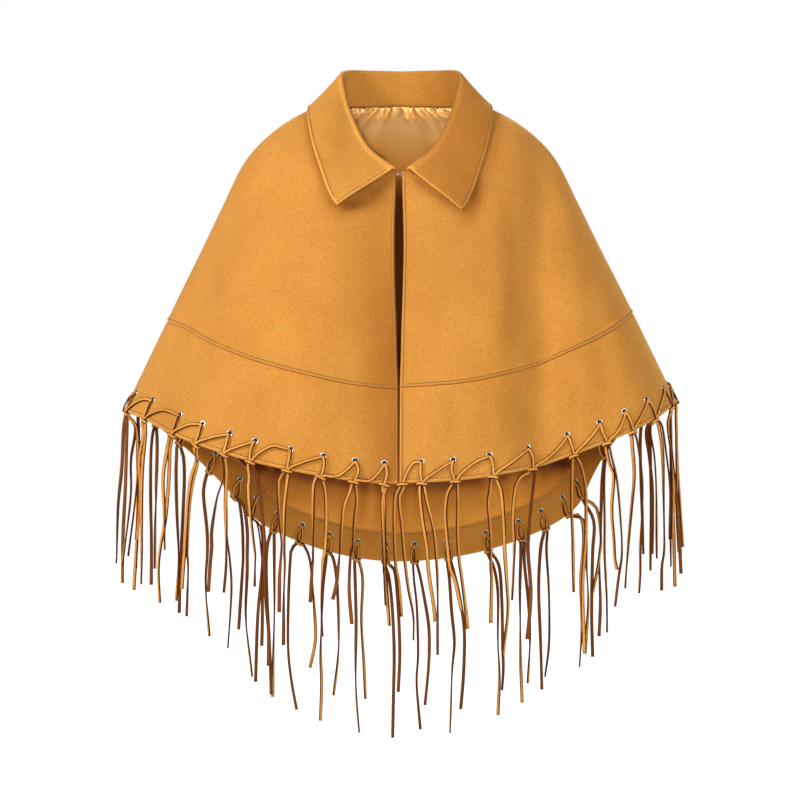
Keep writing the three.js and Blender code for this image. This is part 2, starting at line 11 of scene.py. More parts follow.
import bpy
import numpy as np
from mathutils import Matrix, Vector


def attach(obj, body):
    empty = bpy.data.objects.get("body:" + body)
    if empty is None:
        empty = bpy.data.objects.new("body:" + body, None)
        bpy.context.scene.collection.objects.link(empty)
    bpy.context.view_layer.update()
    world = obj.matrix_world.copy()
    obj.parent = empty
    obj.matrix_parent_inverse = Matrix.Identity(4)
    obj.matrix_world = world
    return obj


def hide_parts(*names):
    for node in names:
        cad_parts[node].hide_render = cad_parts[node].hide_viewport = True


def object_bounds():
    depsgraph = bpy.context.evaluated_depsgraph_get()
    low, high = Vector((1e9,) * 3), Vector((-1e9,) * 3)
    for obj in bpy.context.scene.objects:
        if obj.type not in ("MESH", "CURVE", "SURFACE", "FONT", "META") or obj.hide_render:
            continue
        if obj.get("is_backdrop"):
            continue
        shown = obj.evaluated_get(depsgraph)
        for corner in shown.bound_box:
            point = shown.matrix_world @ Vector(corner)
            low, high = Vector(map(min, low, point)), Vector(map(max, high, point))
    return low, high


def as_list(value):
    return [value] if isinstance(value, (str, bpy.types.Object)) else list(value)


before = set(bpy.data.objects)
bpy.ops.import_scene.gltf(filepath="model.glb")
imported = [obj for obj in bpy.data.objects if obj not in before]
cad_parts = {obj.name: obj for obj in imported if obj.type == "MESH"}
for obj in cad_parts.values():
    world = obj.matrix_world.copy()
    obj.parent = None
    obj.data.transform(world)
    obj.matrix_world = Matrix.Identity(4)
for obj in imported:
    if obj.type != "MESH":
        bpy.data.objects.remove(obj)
cad_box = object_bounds()

# How thick each layer is, and the gap between two
SUEDE = 1.8
FACING = 1.2
LINING = 0.8
COLLAR_WALL = 2.6
LAYER_GAP = 0.6

# Sections of the cape from neck to hem: half its width, how far it stands out in front and behind, the
# height at its side, front and back, and how wide the opening gapes
SECTIONS = {
    "half": [80, 117, 163, 201, 231, 259, 281, 302, 357],
    "front": [80, 94, 110, 125, 139, 151, 160, 168, 190],
    "back": [62, 84, 104, 121, 140, 158, 178, 204, 238],
    "sideZ": [6, -2, -29, -68, -127, -185, -229, -272, -386],
    "frontZ": [-91, -119, -151, -190, -238, -283, -324, -363, -480],
    "backZ": [11, -6, -42, -97, -170, -255, -358, -482, -605],
    "gape": [8, 9.5, 11.5, 12, 9.8, 6.8, 5, 2.6, 1.4],
}
BAND_SEAM = 7
HEM = 8
BAND_WIDTH = 126
SQUARENESS = 0.05
FRONT_FALL = {"neck": 4, "left": 1.85, "right": 2.2}
BACK_PLAIN = 2.2
BACK_FALL = {
    "left": {"side": 3.1, "middle": 2.4, "start": 0.62, "end": 0.8},
    "right": {"side": 3.3, "middle": 1.8, "start": 0.5, "end": 0.74},
}
BACK_FALL_ROW = 5.6
OPENING_X = -1.5
SIDE_TILT = 6

# Folds: angle, half width in degrees, depth at the hem (below zero stands out), row where it starts
FOLDS = [
    (34, 11, 10, 1.5),
    (60, 13, -5, 3),
    (111, 9, -5, 4),
    (130, 8, 38, 3.5),
    (147, 8, -8, 4.5),
    (184, 9, 9, 4.5),
    (206, 8, -8, 4.5),
    (222, 8, 40, 3.5),
    (244, 10, -4, 4),
    (297, 10, 9, 2.5),
    (325, 13, -5, 3),
]

# Soft creases: front or back, the distance across and the row where each starts and ends, and its
# half width and depth, in millimetres. A depth below zero stands out.
CREASES = [
    ("front", 178, 1.0, 168, 8.6, 27, 11.5),
    ("front", 118, 1.2, 108, 8.4, 25, -4.5),
    ("front", 95, 5.6, 88, 8.2, 16, 1.8),
    ("front", 40, 5.9, 44, 8.2, 18, -1.6),
    ("front", 232, 5.2, 246, 8.2, 15, 2.6),
    ("front", -232, 4.2, -252, 8.2, 17, 2.6),
    ("front", -186, 4.6, -176, 7.9, 17, 2.2),
    ("front", -120, 5.0, -100, 8.2, 19, -1.8),
    ("front", -62, 5.6, -66, 8.2, 14, 1.7),
    ("front", -112, 1.4, -140, 4.8, 19, -1.7),
    ("back", 150, 1.6, 176, 5.8, 17, 2.8),
    ("back", 88, 2.2, 104, 6.6, 15, 2.2),
    ("back", 30, 1.6, 24, 5.0, 15, -1.8),
    ("back", -44, 3.4, -60, 7.6, 16, 2.2),
    ("back", -104, 1.8, -128, 5.4, 18, -2.2),
    ("back", -180, 2.2, -206, 6.6, 17, 2.8),
]
CREASE_WANDER = {"reach": 4, "pace": 1.9}
# The fronts curl inwards towards the opening, the left one more, and both a little less at the hem
CURL = {"right": {"half": 24, "depth": 4.5}, "left": {"half": 60, "depth": 17}}
CURL_LOST_AT_HEM = 0.35

# Places of the eyelets
EYELET_RISE = 25
FACING_RISE = 44
EYELET_ROW = HEM - EYELET_RISE / BAND_WIDTH
FACING_ROW = HEM - FACING_RISE / BAND_WIDTH
RIGHT_ANGLES = [4, 10, 17, 25.5, 35, 43.5, 51, 60, 73, 86]
BACK_ANGLES = [
    97, 107, 115.5, 126.5, 135, 142, 148.5, 154, 161.5, 170, 177, 183,
    189, 195, 201, 207, 214, 221, 227.3, 235, 244, 255, 266,
]
LEFT_ANGLES = [282.5, 295, 310.5, 318.5, 326, 332, 339.5, 346, 352, 357.5]
START_KNOT = 0.6

EYELET = {"hole": 2.6, "flange": 4.2, "rim": 0.7, "sides": 28}
CORD = {"width": 4.2, "thickness": 1.9}
KNOT = {"half": 5.6, "deep": 3.4, "height": 4.2, "drop": 2.4}
STRAND = {"width": 4.6, "thickness": 2.3, "pieces": 26, "beside": 2.0}
STITCH = {"pitch": 3.2, "length": 1.5, "width": 1.1, "height": 0.6, "hole": 1.4}
HEM_STITCH = 3.8
EDGE_STITCH = 3.0
SEAM_STITCH = 2.6
FACING_STITCH = 4.0
SEAM_LINE = {"width": 1.0, "thickness": 0.6}
# How tall the last row above the band seam is
LOWEST_UPPER_ROW = 62


def smooth(low, high, x):
    """0 below low, 1 above high, and an even curve between."""
    t = np.clip((x - low) / (high - low), 0, 1)
    return t * t * (3 - 2 * t)


def lerp(a, b, t):
    return a + (b - a) * t


def unit(v):
    return v / np.maximum(np.linalg.norm(v, axis=-1, keepdims=True), 1e-9)


def section_value(key, row):
    """A value of the section table between its rows, on a smooth curve."""
    table = np.array(SECTIONS[key], float)
    ends = np.concatenate([[2 * table[0] - table[1]], table, [2 * table[-1] - table[-2]]])
    index = np.clip(np.floor(row).astype(int), 0, len(table) - 2)
    a, b, c, d = (ends[index + k] for k in range(4))
    t = row - index
    cubic = -a + 3 * b - 3 * c + d
    square = 2 * a - 5 * b + 4 * c - d
    return b + 0.5 * t * (c - a + t * (square + t * cubic))


def outside(angle, row):
    """Points on the plain outside of the cloth."""
    angle, row = np.broadcast_arrays(np.asarray(angle, float), np.asarray(row, float))
    turn = np.radians(angle)
    square = SQUARENESS * smooth(2, HEM, row) * np.sin(2 * turn)
    across = np.sin(turn + square)
    forward = np.cos(turn - square)
    in_front = forward > 0
    half = section_value("half", row)
    depth = np.where(in_front, section_value("front", row), section_value("back", row))
    end_z = np.where(in_front, section_value("frontZ", row), section_value("backZ", row))
    side_z = section_value("sideZ", row) + SIDE_TILT * across * row / HEM
    opening = np.where(in_front, forward * forward, 0)
    gape = section_value("gape", row) / 2 * np.where(angle <= 180, 1, -1)
    inward = np.zeros_like(turn)
    for fold_angle, fold_half, fold_depth, start in FOLDS:
        away = (angle - fold_angle) / fold_half
        inward = inward + fold_depth * np.exp(-away * away) * smooth(start, HEM, row)
    slope_x, slope_y = across / half, -forward / depth
    slope = np.hypot(slope_x, slope_y)
    on_right = across > 0
    low_front = np.where(on_right, FRONT_FALL["right"], FRONT_FALL["left"])
    front_power = lerp(FRONT_FALL["neck"], low_front, smooth(0, 2, row))
    back = np.abs(forward)
    fall = {}
    for side, shape in BACK_FALL.items():
        fall[side] = lerp(shape["side"], shape["middle"], smooth(shape["start"], shape["end"], back))
    low_back = np.where(on_right, fall["right"], fall["left"])
    back_power = lerp(BACK_PLAIN, low_back, smooth(BACK_FALL_ROW, HEM, row))
    share = np.where(in_front, np.abs(across) ** front_power, 1 - back**back_power)
    return np.stack(
        [
            half * across + (gape + OPENING_X) * opening - slope_x / slope * inward,
            -depth * forward - slope_y / slope * inward,
            end_z + (side_z - end_z) * share,
        ],
        axis=-1,
    )


def directions(angle, row):
    """Round the body, down towards the hem, and straight out of the cloth."""
    step = 0.05
    angle, row = np.broadcast_arrays(np.asarray(angle, float), np.asarray(row, float))
    low, high = np.maximum(row - step, 0), np.minimum(row + step, HEM)
    left = np.where((angle > 180) & (angle + step > 360), angle - step, angle)
    right = np.where((angle < 180) & (angle - step < 0), angle + step, angle)
    around = unit(outside(np.minimum(right + step, 360), row) - outside(np.maximum(left - step, 0), row))
    down = unit(outside(angle, high) - outside(angle, low))
    return around, down, -unit(np.cross(around, down))


def crease_depth(angle, row):
    """How far the listed soft creases take the cloth in at a place."""
    turn = np.radians(angle)
    across = section_value("half", row) * np.sin(turn)
    forward = np.cos(turn)
    depth = np.zeros(np.broadcast(angle, row).shape)
    for where, start_across, start_row, end_across, end_row, half, deep in CREASES:
        t = (row - start_row) / (end_row - start_row)
        wander = CREASE_WANDER["reach"] * np.sin(row * CREASE_WANDER["pace"] + start_across)
        away = (across - lerp(start_across, end_across, np.clip(t, 0, 1)) - wander) / half
        fade = smooth(-0.05, 0.4, t) * (1 - smooth(0.75, 1.15, t))
        facing = smooth(0.0, 0.25, forward if where == "front" else -forward)
        depth = depth + deep * np.exp(-away * away) * fade * facing
    for side, near in (("right", across > 0), ("left", across <= 0)):
        away = across / CURL[side]["half"]
        curl = CURL[side]["depth"] * np.exp(-away * away) * smooth(0.0, 0.25, forward)
        kept = 1 - CURL_LOST_AT_HEM * smooth(6, HEM, row)
        depth = depth + np.where(near, curl, 0) * smooth(0.1, 1.8, row) * kept
    return depth


def cloth(angle, row, off=0.0):
    """Points so far out from the creased outside of the cloth."""
    out = directions(angle, row)[2]
    return outside(angle, row) + out * (off - crease_depth(angle, row))[..., None]


def noise(seed):
    """A repeatable number from 0 to 1 for a seed."""
    wave = math.sin(seed * 12.9898 + 4.1) * 43758.5453
    return wave - math.floor(wave)


# Meshes
def put(name, points, faces, materials, looks=None, slot=None, replaces=(), shade=None):
    """Adds a mesh object from points in millimetres, with a material number for each face.

    Its shade is a number for each point that paints light and shade into the colour: 0.5 for the plain
    colour, less for painted shade and shadow, and more for painted highlights and for wear along edges.
    """
    mesh = bpy.data.meshes.new(name)
    points = np.asarray(points, float).reshape(-1, 3) / 1000
    mesh.from_pydata(points.tolist(), [], [list(map(int, f)) for f in faces])
    for material in materials:
        mesh.materials.append(material)
    if looks is not None:
        mesh.polygons.foreach_set("material_index", np.asarray(looks, np.int32))
    mesh.polygons.foreach_set("use_smooth", np.full(len(mesh.polygons), True))
    if shade is not None:
        # The painted light and shade kept on each point, with the wear along edges
        wear_and_painted_light = mesh.attributes.new("shade", "FLOAT", "POINT")
        wear_and_painted_light.data.foreach_set("value", np.asarray(shade, np.float32))
    mesh.update()
    thing = bpy.data.objects.new(name, mesh)
    bpy.context.scene.collection.objects.link(thing)
    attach(thing, "root")
    if replaces:
        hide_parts(*replaces)
    return thing


# How far the rim of a thin shell bulges, in thicknesses
RIM_BULGE = 0.45


def grid_faces(rows, columns, start=0, turned=False):
    r, c = np.meshgrid(np.arange(rows - 1), np.arange(columns - 1), indexing="ij")
    a = (start + r * columns + c).ravel()
    quads = np.stack([a, a + 1, a + columns + 1, a + columns], axis=1)
    return quads[:, ::-1] if turned else quads


def shell_mesh(outer, inner, shade):
    """Points, faces and shades of a closed sheet between two grids, with its edge rounded over."""
    rows, columns = outer.shape[:2]
    count = rows * columns
    top = [(0, c) for c in range(columns)]
    end = [(r, columns - 1) for r in range(1, rows)]
    foot = [(rows - 1, c) for c in range(columns - 2, -1, -1)]
    start = [(r, 0) for r in range(rows - 2, 0, -1)]
    rim = np.array(top + end + foot + start)
    r, c = rim[:, 0], rim[:, 1]
    next_r = np.clip(r, 1, rows - 2)
    next_c = np.clip(c, 1, columns - 2)
    middle = (outer[r, c] + inner[r, c]) / 2
    away = unit(middle - (outer[next_r, next_c] + inner[next_r, next_c]) / 2)
    thick = np.linalg.norm(outer[r, c] - inner[r, c], axis=1, keepdims=True)
    points = np.concatenate([outer.reshape(-1, 3), inner.reshape(-1, 3), middle + away * thick * RIM_BULGE])
    outer_rim = r * columns + c
    k = np.arange(len(rim))
    nxt = (k + 1) % len(rim)
    first = np.stack([outer_rim[nxt], outer_rim[k], 2 * count + k, 2 * count + nxt], axis=1)
    second = np.stack([2 * count + nxt, 2 * count + k, count + outer_rim[k], count + outer_rim[nxt]], axis=1)
    faces = np.concatenate(
        [grid_faces(rows, columns), grid_faces(rows, columns, count, turned=True), first, second]
    )
    corners = points[faces]
    volume = np.einsum("ij,ij->i", corners[:, 0], np.cross(corners[:, 1], corners[:, 2])).sum()
    volume += np.einsum("ij,ij->i", corners[:, 0], np.cross(corners[:, 2], corners[:, 3])).sum()
    shades = np.concatenate([shade.ravel(), shade.ravel(), shade[r, c]])
    return points, faces if volume > 0 else faces[:, ::-1], shades


class Joined:
    """Many small shapes that make one mesh."""

    def __init__(self):
        self.points, self.faces, self.looks, self.count = [], [], [], 0

    def add(self, points, faces, looks):
        self.points.append(np.asarray(points, float).reshape(-1, 3))
        self.faces += [[self.count + i for i in face] for face in faces]
        self.looks += list(looks)
        self.count += len(self.points[-1])

    def put(self, name, materials, **facts):
        return put(name, np.concatenate(self.points), self.faces, materials, self.looks, **facts)


def swept(points, facing, section):
    """Rings of a section, as pairs of sideways and upward distances, along points."""
    along = unit(np.gradient(points, axis=0))
    up = unit(facing - along * np.sum(facing * along, axis=1, keepdims=True))
    side = np.cross(up, along)
    section = np.asarray(section, float)
    return points[:, None] + side[:, None] * section[None, :, :1] + up[:, None] * section[None, :, 1:]


def tube_faces(count, sides):
    """The faces between rings of points, from one ring to the next."""
    faces = []
    for i in range(count - 1):
        for k in range(sides):
            a, b = i * sides + k, i * sides + (k + 1) % sides
            faces.append((a, a + sides, b + sides, b))
    return faces


def closed_tube_faces(count, sides):
    """The faces between rings, and a face on the first ring and on the last."""
    last = reversed(range((count - 1) * sides, count * sides))
    return tube_faces(count, sides) + [tuple(range(sides)), tuple(last)]


# A strip of cut suede, from -1 to 1 across: its napped face, its dark cut edges and its back
STRIP_SECTION = np.array(
    [(-1, -0.85), (-1, 0.2), (-0.64, 0.9), (0, 1.05), (0.64, 0.9), (1, 0.2), (1, -0.85), (0, -1)]
)
STRIP_LOOKS = [1, 1, 0, 0, 1, 1, 2, 2]


def add_strip(joined, points, facing, width, thickness):
    """Adds a flat strip of cut suede along points, its face towards facing."""
    section = STRIP_SECTION * (width / 2, thickness / 2)
    rings = swept(np.asarray(points, float), np.asarray(facing, float), section)
    joined.add(rings, closed_tube_faces(*rings.shape[:2]), STRIP_LOOKS * (len(rings) - 1) + [1, 1])


def curve_through(controls, count):
    """Evenly spaced points on a smooth curve through control points."""
    controls = np.asarray(controls, float)
    ends = np.concatenate([[2 * controls[0] - controls[1]], controls, [2 * controls[-1] - controls[-2]]])
    fine = []
    for i in range(len(controls) - 1):
        a, b, c, d = ends[i : i + 4]
        for t in np.arange(0, 1, 1 / 16):
            fine.append(b + 0.5 * t * (c - a + t * (2 * a - 5 * b + 4 * c - d + t * (3 * b - 3 * c + d - a))))
    fine.append(controls[-1])
    return evenly(np.array(fine), count)


def lengths_along(points, axis=0):
    """How far each point of a line or a grid is from its start along an axis."""
    steps = np.linalg.norm(np.diff(points, axis=axis), axis=-1)
    start = np.zeros_like(np.take(steps, [0], axis=axis))
    return np.concatenate([start, np.cumsum(steps, axis=axis)], axis=axis)


def read_at(places, lengths, values):
    """The values of a line's points, read at other distances along it."""
    return np.stack([np.interp(places, lengths, column) for column in values.T], axis=1)


def evenly(points, count):
    """The same line with its points evenly spaced."""
    lengths = lengths_along(points)
    return read_at(np.linspace(0, lengths[-1], count), lengths, points)


# Materials
def add_node(tree, kind, values, **sources):
    """A node with plain values for some of its inputs and links from other nodes to the rest."""
    node = tree.nodes.new(kind)
    for key, value in values.items():
        node.inputs[key].default_value = value
    for key, source in sources.items():
        tree.links.new(source, node.inputs[key])
    return node


def new_material(name, values):
    """A material with plain values for some inputs of its shader."""
    material = bpy.data.materials.new(name)
    material.use_nodes = True
    tree = material.node_tree
    shader = tree.nodes["Principled BSDF"]
    for key, value in values.items():
        shader.inputs[key].default_value = value
    return material, tree, shader


def linear(red, green, blue):
    """A colour of 0 to 255 as the shader's own numbers."""
    values = [c / 255 for c in (red, green, blue)]
    return [c / 12.92 if c <= 0.04045 else ((c + 0.055) / 1.055) ** 2.4 for c in values] + [1]


def grey(value):
    return (value, value, value, 1)


def between(low, high):
    """The stops of a ramp from one colour to another over the middle of a texture."""
    return [(0.3, low), (0.7, high)]


def texture(tree, scale, detail, roughness, stretch=(1, 1, 1)):
    """A procedural texture over the object's own coordinates."""
    place = add_node(tree, "ShaderNodeTexCoord", {})
    mapping = add_node(tree, "ShaderNodeMapping", {"Scale": stretch}, Vector=place.outputs["Object"])
    values = {"Scale": scale, "Detail": detail, "Roughness": roughness}
    return add_node(tree, "ShaderNodeTexNoise", values, Vector=mapping.outputs["Vector"]).outputs[0]


def ramp(tree, value, stops):
    node = add_node(tree, "ShaderNodeValToRGB", {}, Fac=value)
    elements = node.color_ramp.elements
    while len(elements) < len(stops):
        elements.new(0.5)
    for element, (position, colour) in zip(elements, stops):
        element.position = position
        element.color = colour
    return node.outputs["Color"]


def multiply(tree, colour, value, stops):
    """The colour, times the colour that a ramp gives a value."""
    node = tree.nodes.new("ShaderNodeMix")
    node.data_type = "RGBA"
    node.blend_type = "MULTIPLY"
    node.inputs["Factor"].default_value = 1
    tree.links.new(colour, node.inputs["A"])
    tree.links.new(ramp(tree, value, stops), node.inputs["B"])
    return node.outputs["Result"]


def cover(tree, shader, colour, bumps):
    """Gives a shader its colour, and bumps from (texture, strength, distance in metres)."""
    tree.links.new(colour, shader.inputs["Base Color"])
    below = {}
    for height, strength, distance in bumps:
        values = {"Strength": strength, "Distance": distance}
        node = add_node(tree, "ShaderNodeBump", values, Height=height, **below)
        below = {"Normal": node.outputs["Normal"]}
    tree.links.new(below["Normal"], shader.inputs["Normal"])


def place_along(tree, axis, start, end):
    """Where a place on the object lies along an axis, from 0 at its start to 1 at its end, in metres."""
    place = add_node(tree, "ShaderNodeTexCoord", {})
    parts = add_node(tree, "ShaderNodeSeparateXYZ", {}, Vector=place.outputs["Object"])
    ends = {"From Min": start, "From Max": end}
    return add_node(tree, "ShaderNodeMapRange", ends, Value=parts.outputs[axis]).outputs["Result"]


# What the painted light and shade kept on each point of a mesh does to its colour: darker and browner
# below 0.5, lighter above it
SHADE_TINTS = [
    (0.0, (0.14, 0.06, 0.015, 1)),
    (0.25, (0.6, 0.5, 0.38, 1)),
    (0.5, grey(1)),
    (1.0, (1.5, 1.7, 2.1, 1)),
]


def tint_by_shade(tree, colour):
    # Paints the light and shade kept on each point into the colour
    shade = tree.nodes.new("ShaderNodeAttribute")
    shade.attribute_name = "shade"
    return multiply(tree, colour, shade.outputs["Fac"], SHADE_TINTS)


# How far the painted shade across a piece reaches each way from its middle, in metres
SHADE_ACROSS_REACH = 0.1


def suede_material(name, dark, middle, light, sheen=0.75, across=None, shaded=True):
    """Napped suede: a brushed mottle, a fine speckle, and a soft bloom where it turns away.

    A painted shade may run across the piece: stops of painted shade over its middle 200 mm.
    """
    values = {
        "Roughness": 0.92,
        "Specular IOR Level": 0.15,
        "Sheen Weight": sheen,
        "Sheen Roughness": 0.45,
        "Sheen Tint": linear(255, 196, 120),
    }
    material, tree, shader = new_material(name, values)
    brushed = texture(tree, 22, 4, 0.6, (1, 1, 0.55))
    colour = ramp(tree, brushed, [(0.28, linear(*dark)), (0.5, linear(*middle)), (0.74, linear(*light))])
    speckle = texture(tree, 600, 2, 0.75)
    colour = multiply(tree, colour, speckle, between(grey(0.76), grey(1.18)))
    cloud = texture(tree, 5, 2, 0.5)
    colour = multiply(tree, colour, cloud, between(grey(0.95), grey(1.05)))
    # Painted shade across the piece, from -X to +X
    if across:
        colour = multiply(tree, colour, place_along(tree, "X", -SHADE_ACROSS_REACH, SHADE_ACROSS_REACH), across)
    # The painted light and shade kept on the mesh's points
    if shaded:
        colour = tint_by_shade(tree, colour)
    nap = texture(tree, 900, 3, 0.7)
    soft = texture(tree, 70, 3, 0.5)
    cover(tree, shader, colour, [(soft, 0.25, 0.0006), (nap, 0.5, 0.0003)])
    return material


def cut_edge_material():
    """Cut edges of a strip: raw and dark red brown."""
    material, tree, shader = new_material("cut_edge", {"Roughness": 0.85, "Specular IOR Level": 0.2})
    fibre = texture(tree, 260, 4, 0.65, (1, 1, 0.3))
    stops = [(0.3, linear(56, 22, 8)), (0.55, linear(92, 40, 15)), (0.8, linear(124, 62, 26))]
    cover(tree, shader, ramp(tree, fibre, stops), [(fibre, 0.5, 0.0003)])
    return material


# The lining from its lowest place to the neck, and the painted light and shade its height gives it:
# painted shade, darker and browner, inside the body of the cape, and painted light near the hem and neck
LINING_HEIGHTS = (-0.62, 0.02)
SATIN_LIGHT_AND_SHADE = [
    (0.1, (1.3, 0.86, 0.32, 1)),
    (0.22, (1.25, 0.8, 0.27, 1)),
    (0.3, (0.2, 0.11, 0.03, 1)),
    (0.8, (0.2, 0.11, 0.03, 1)),
    (0.835, (0.5, 0.31, 0.12, 1)),
    (0.865, (1.36, 0.94, 0.42, 1)),
    (0.9, (1.4, 1.1, 0.6, 1)),
    (0.94, (1.35, 1.24, 0.94, 1)),
]
SATIN_LUSTRE = [(0.2, grey(0.12)), (0.84, grey(0.08)), (0.9, grey(0.5))]


def satin_material():
    """Woven satin lining with a soft lustre along its threads, dulled where the body of the cape is, and
    painted light and shade by height.
    """
    material, tree, shader = new_material("satin", {"Sheen Weight": 0.1, "Sheen Roughness": 0.3})
    cloudy = texture(tree, 30, 3, 0.5, (1, 1, 0.35))
    colour = ramp(tree, cloudy, between(linear(240, 194, 128), linear(248, 210, 146)))
    threads = texture(tree, 1500, 2, 0.6, (1, 1, 0.12))
    colour = multiply(tree, colour, threads, between(grey(0.93), grey(1.05)))
    height = place_along(tree, "Z", *LINING_HEIGHTS)
    # Painted light and shade by height, then the painted shade kept on its points
    colour = tint_by_shade(tree, multiply(tree, colour, height, SATIN_LIGHT_AND_SHADE))
    cover(tree, shader, colour, [(threads, 0.2, 0.0002)])
    tree.links.new(ramp(tree, cloudy, between(grey(0.36), grey(0.46))), shader.inputs["Roughness"])
    tree.links.new(ramp(tree, height, SATIN_LUSTRE), shader.inputs["Specular IOR Level"])
    return material


def nickel_material():
    """Bright pressed nickel, a little worn and uneven."""
    material, tree, shader = new_material("nickel", {"Metallic": 1})
    wear = texture(tree, 420, 4, 0.6)
    cover(tree, shader, ramp(tree, wear, between(grey(0.55), grey(0.85))), [(wear, 0.15, 0.0001)])
    tree.links.new(ramp(tree, wear, between(grey(0.16), grey(0.3))), shader.inputs["Roughness"])
    return material


def plain_material(name, low, high, scale, roughness):
    """A matt material whose colour varies a little between two."""
    material, tree, shader = new_material(name, {"Roughness": roughness})
    grain = texture(tree, scale, 3, 0.6)
    cover(tree, shader, ramp(tree, grain, between(low, high)), [(grain, 0.3, 0.0002)])
    return material


SUEDE_COLOURS = [(205, 137, 57), (211, 143, 61), (218, 150, 67)]
SUEDE_LOOK = suede_material("suede", *SUEDE_COLOURS, 0.95)
# Painted shade across the collar: darker towards +X, where the collar turns from the key light
COLLAR_PAINTED_SHADE = [
    (0.1, (1.0, 1.03, 1.02, 1)),
    (0.52, grey(0.97)),
    (0.66, (0.86, 0.82, 0.74, 1)),
    (0.84, (0.7, 0.64, 0.53, 1)),
    (1.0, (0.64, 0.58, 0.47, 1)),
]
COLLAR_LOOK = suede_material("collar_suede", *SUEDE_COLOURS, across=COLLAR_PAINTED_SHADE)
INSIDE_LOOK = suede_material("suede_inside", (208, 136, 50), (216, 145, 58), (224, 154, 66), 0.3)
STRIP_LOOK = suede_material("strip_suede", (214, 142, 60), (228, 156, 72), (238, 170, 84), 0.4, shaded=False)
STRIP_BACK_LOOK = suede_material("strip_back", (112, 58, 22), (132, 74, 30), (154, 92, 40), 0.1, shaded=False)
EDGE_LOOK = cut_edge_material()
SATIN_LOOK = satin_material()
NICKEL_LOOK = nickel_material()
THREAD_LOOK = plain_material("thread", linear(214, 148, 70), linear(238, 176, 98), 900, 0.7)
SEAM_LOOK = plain_material("seam_shadow", linear(84, 42, 12), linear(116, 62, 22), 600, 0.95)
# Painted shade of needle holes and of the bores of the eyelets
HOLE_SHADE_LOOK = plain_material("hole", linear(34, 15, 5), linear(52, 24, 8), 500, 0.9)


# The panels. Columns near an opening edge are set by their distance from it in millimetres.
EDGE_STEPS = [0, 0.4, 1.0, 1.8, 2.4, 3.0, 3.6, 4.3, 5.6, 7.6, 10.5]
FRONT_COLUMNS = 104
FAR_AWAY = 1e3


def front_columns(rows, side):
    """Angles of a front panel's columns on each row, from the opening to the side seam."""
    half = section_value("half", rows)[:, None]
    near = np.degrees(np.array(EDGE_STEPS)[None] / half)
    t = np.linspace(0, 1, FRONT_COLUMNS + 1)[1:][None]
    angles = np.concatenate([near, near[:, -1:] + (90 - near[:, -1:]) * t], axis=1)
    return angles if side > 0 else (360 - angles)[:, ::-1]


def distance_from(edge, angle, row):
    """How far a place on a panel is from one of its edges."""
    if edge == "opening":
        turn = np.radians(np.where(angle > 180, 360 - angle, angle))
        near = section_value("half", row) * np.sin(np.clip(turn, 0, math.pi / 2))
        return np.where(turn < math.pi / 2, near, FAR_AWAY)
    if edge == "hem":
        return (HEM - row) * BAND_WIDTH
    if edge == "seam_above":
        return (row - BAND_SEAM) * BAND_WIDTH
    return (BAND_SEAM - row) * LOWEST_UPPER_ROW


def ditch(distance, place, half, depth):
    away = (distance - place) / half
    return -depth * np.exp(-away * away)


# The turned edges: how far the stitching lies from the edge, how high the doubled cloth stands and the
# two distances over which that ends, how deep the stitching sinks, how far the cloth rounds down at the
# very edge and over what distance, and how much lighter the edge is painted, as wear and as a highlight
TURNED = {
    "opening": (EDGE_STITCH, 0.9, 1.8, EDGE_STITCH + 2, 0.35, 0.9, 1.2, 0.15),
    "hem": (HEM_STITCH, 0.8, 2.2, HEM_STITCH + 2, 0.35, 0.9, 1.2, 0.15),
    "seam_below": (SEAM_STITCH, 0.9, 2.2, 7, 0.15, 1.0, 1.0, 0.05),
}
STITCH_DITCH = 0.9
# The plain edge that a band tucks under the panel above it: how far it sinks, and how dark the painted shade
# along it is
TUCKED = {"sunk": 1.3, "reach": 4.5, "half": 1.2, "dark": 0.12}


def relief(angle, row, *edges):
    """How far seams, stitching and turned edges lift or sink the outside of a panel."""
    lift = np.zeros(np.broadcast(angle, row).shape)
    for edge in edges:
        away = distance_from(edge, angle, row)
        if edge == "seam_above":
            lift = lift - TUCKED["sunk"] * (1 - smooth(0, TUCKED["reach"], away))
        else:
            stitch, height, start, end, sunk, fold, fold_end, _ = TURNED[edge]
            lift = lift + height * (1 - smooth(start, end, away)) + ditch(away, stitch, STITCH_DITCH, sunk)
            lift = lift - fold * (1 - smooth(0, fold_end, away))
    return lift


def edge_shade(distance, stitch, wear_and_painted_light):
    """The painted shade by an edge: lighter along it, as wear and as a painted highlight, and painted shade
    in the ditch of its stitching.
    """
    light = wear_and_painted_light * (1 - smooth(stitch - 1.6, stitch - 0.6, distance))
    return light + ditch(distance, stitch, STITCH_DITCH, 0.03)


def shade_of(angle, row, *edges):
    """The painted light and shade of a place on the outside of a panel."""
    shade = np.full(np.broadcast(angle, row).shape, 0.5)
    for edge in edges:
        away = distance_from(edge, angle, row)
        # Painted shade along the seam where the band tucks under
        if edge == "seam_above":
            shade = shade + ditch(away, 0, TUCKED["half"], TUCKED["dark"])
        else:
            shade = shade + edge_shade(away, TURNED[edge][0], TURNED[edge][-1])
        # Painted shade at the very edge of the opening
        if edge == "opening":
            shade = shade - 0.4 * (1 - smooth(0.3, 1.1, away))
    return shade


# The collar, through the same stations as its solid: neck angle, roll, edge angle and edge row
COLLAR_STATIONS = np.array(
    [
        (180, 0, 61, 55, 180, 1),
        (148, 44, 53, 55, 150, 1),
        (118, 72, 31, 52, 118, 1),
        (92, 78, 9, 43, 91, 1),
        (78, 75, -7, 19, 76, 1.1),
        (64, 66, -25, -12, 61, 1.26),
        (40, 44, -56, -57, 43, 1.6),
        (9, 11, -87, -86, 25, 2.26),
    ],
    float,
)
COLLAR_X = 1.3
# How far the free edge lies off the panels, and how much farther the cloth above it springs
COLLAR_LIFT = 3.2
COLLAR_SPRING = 2.6
ROLL_RADIUS = 3


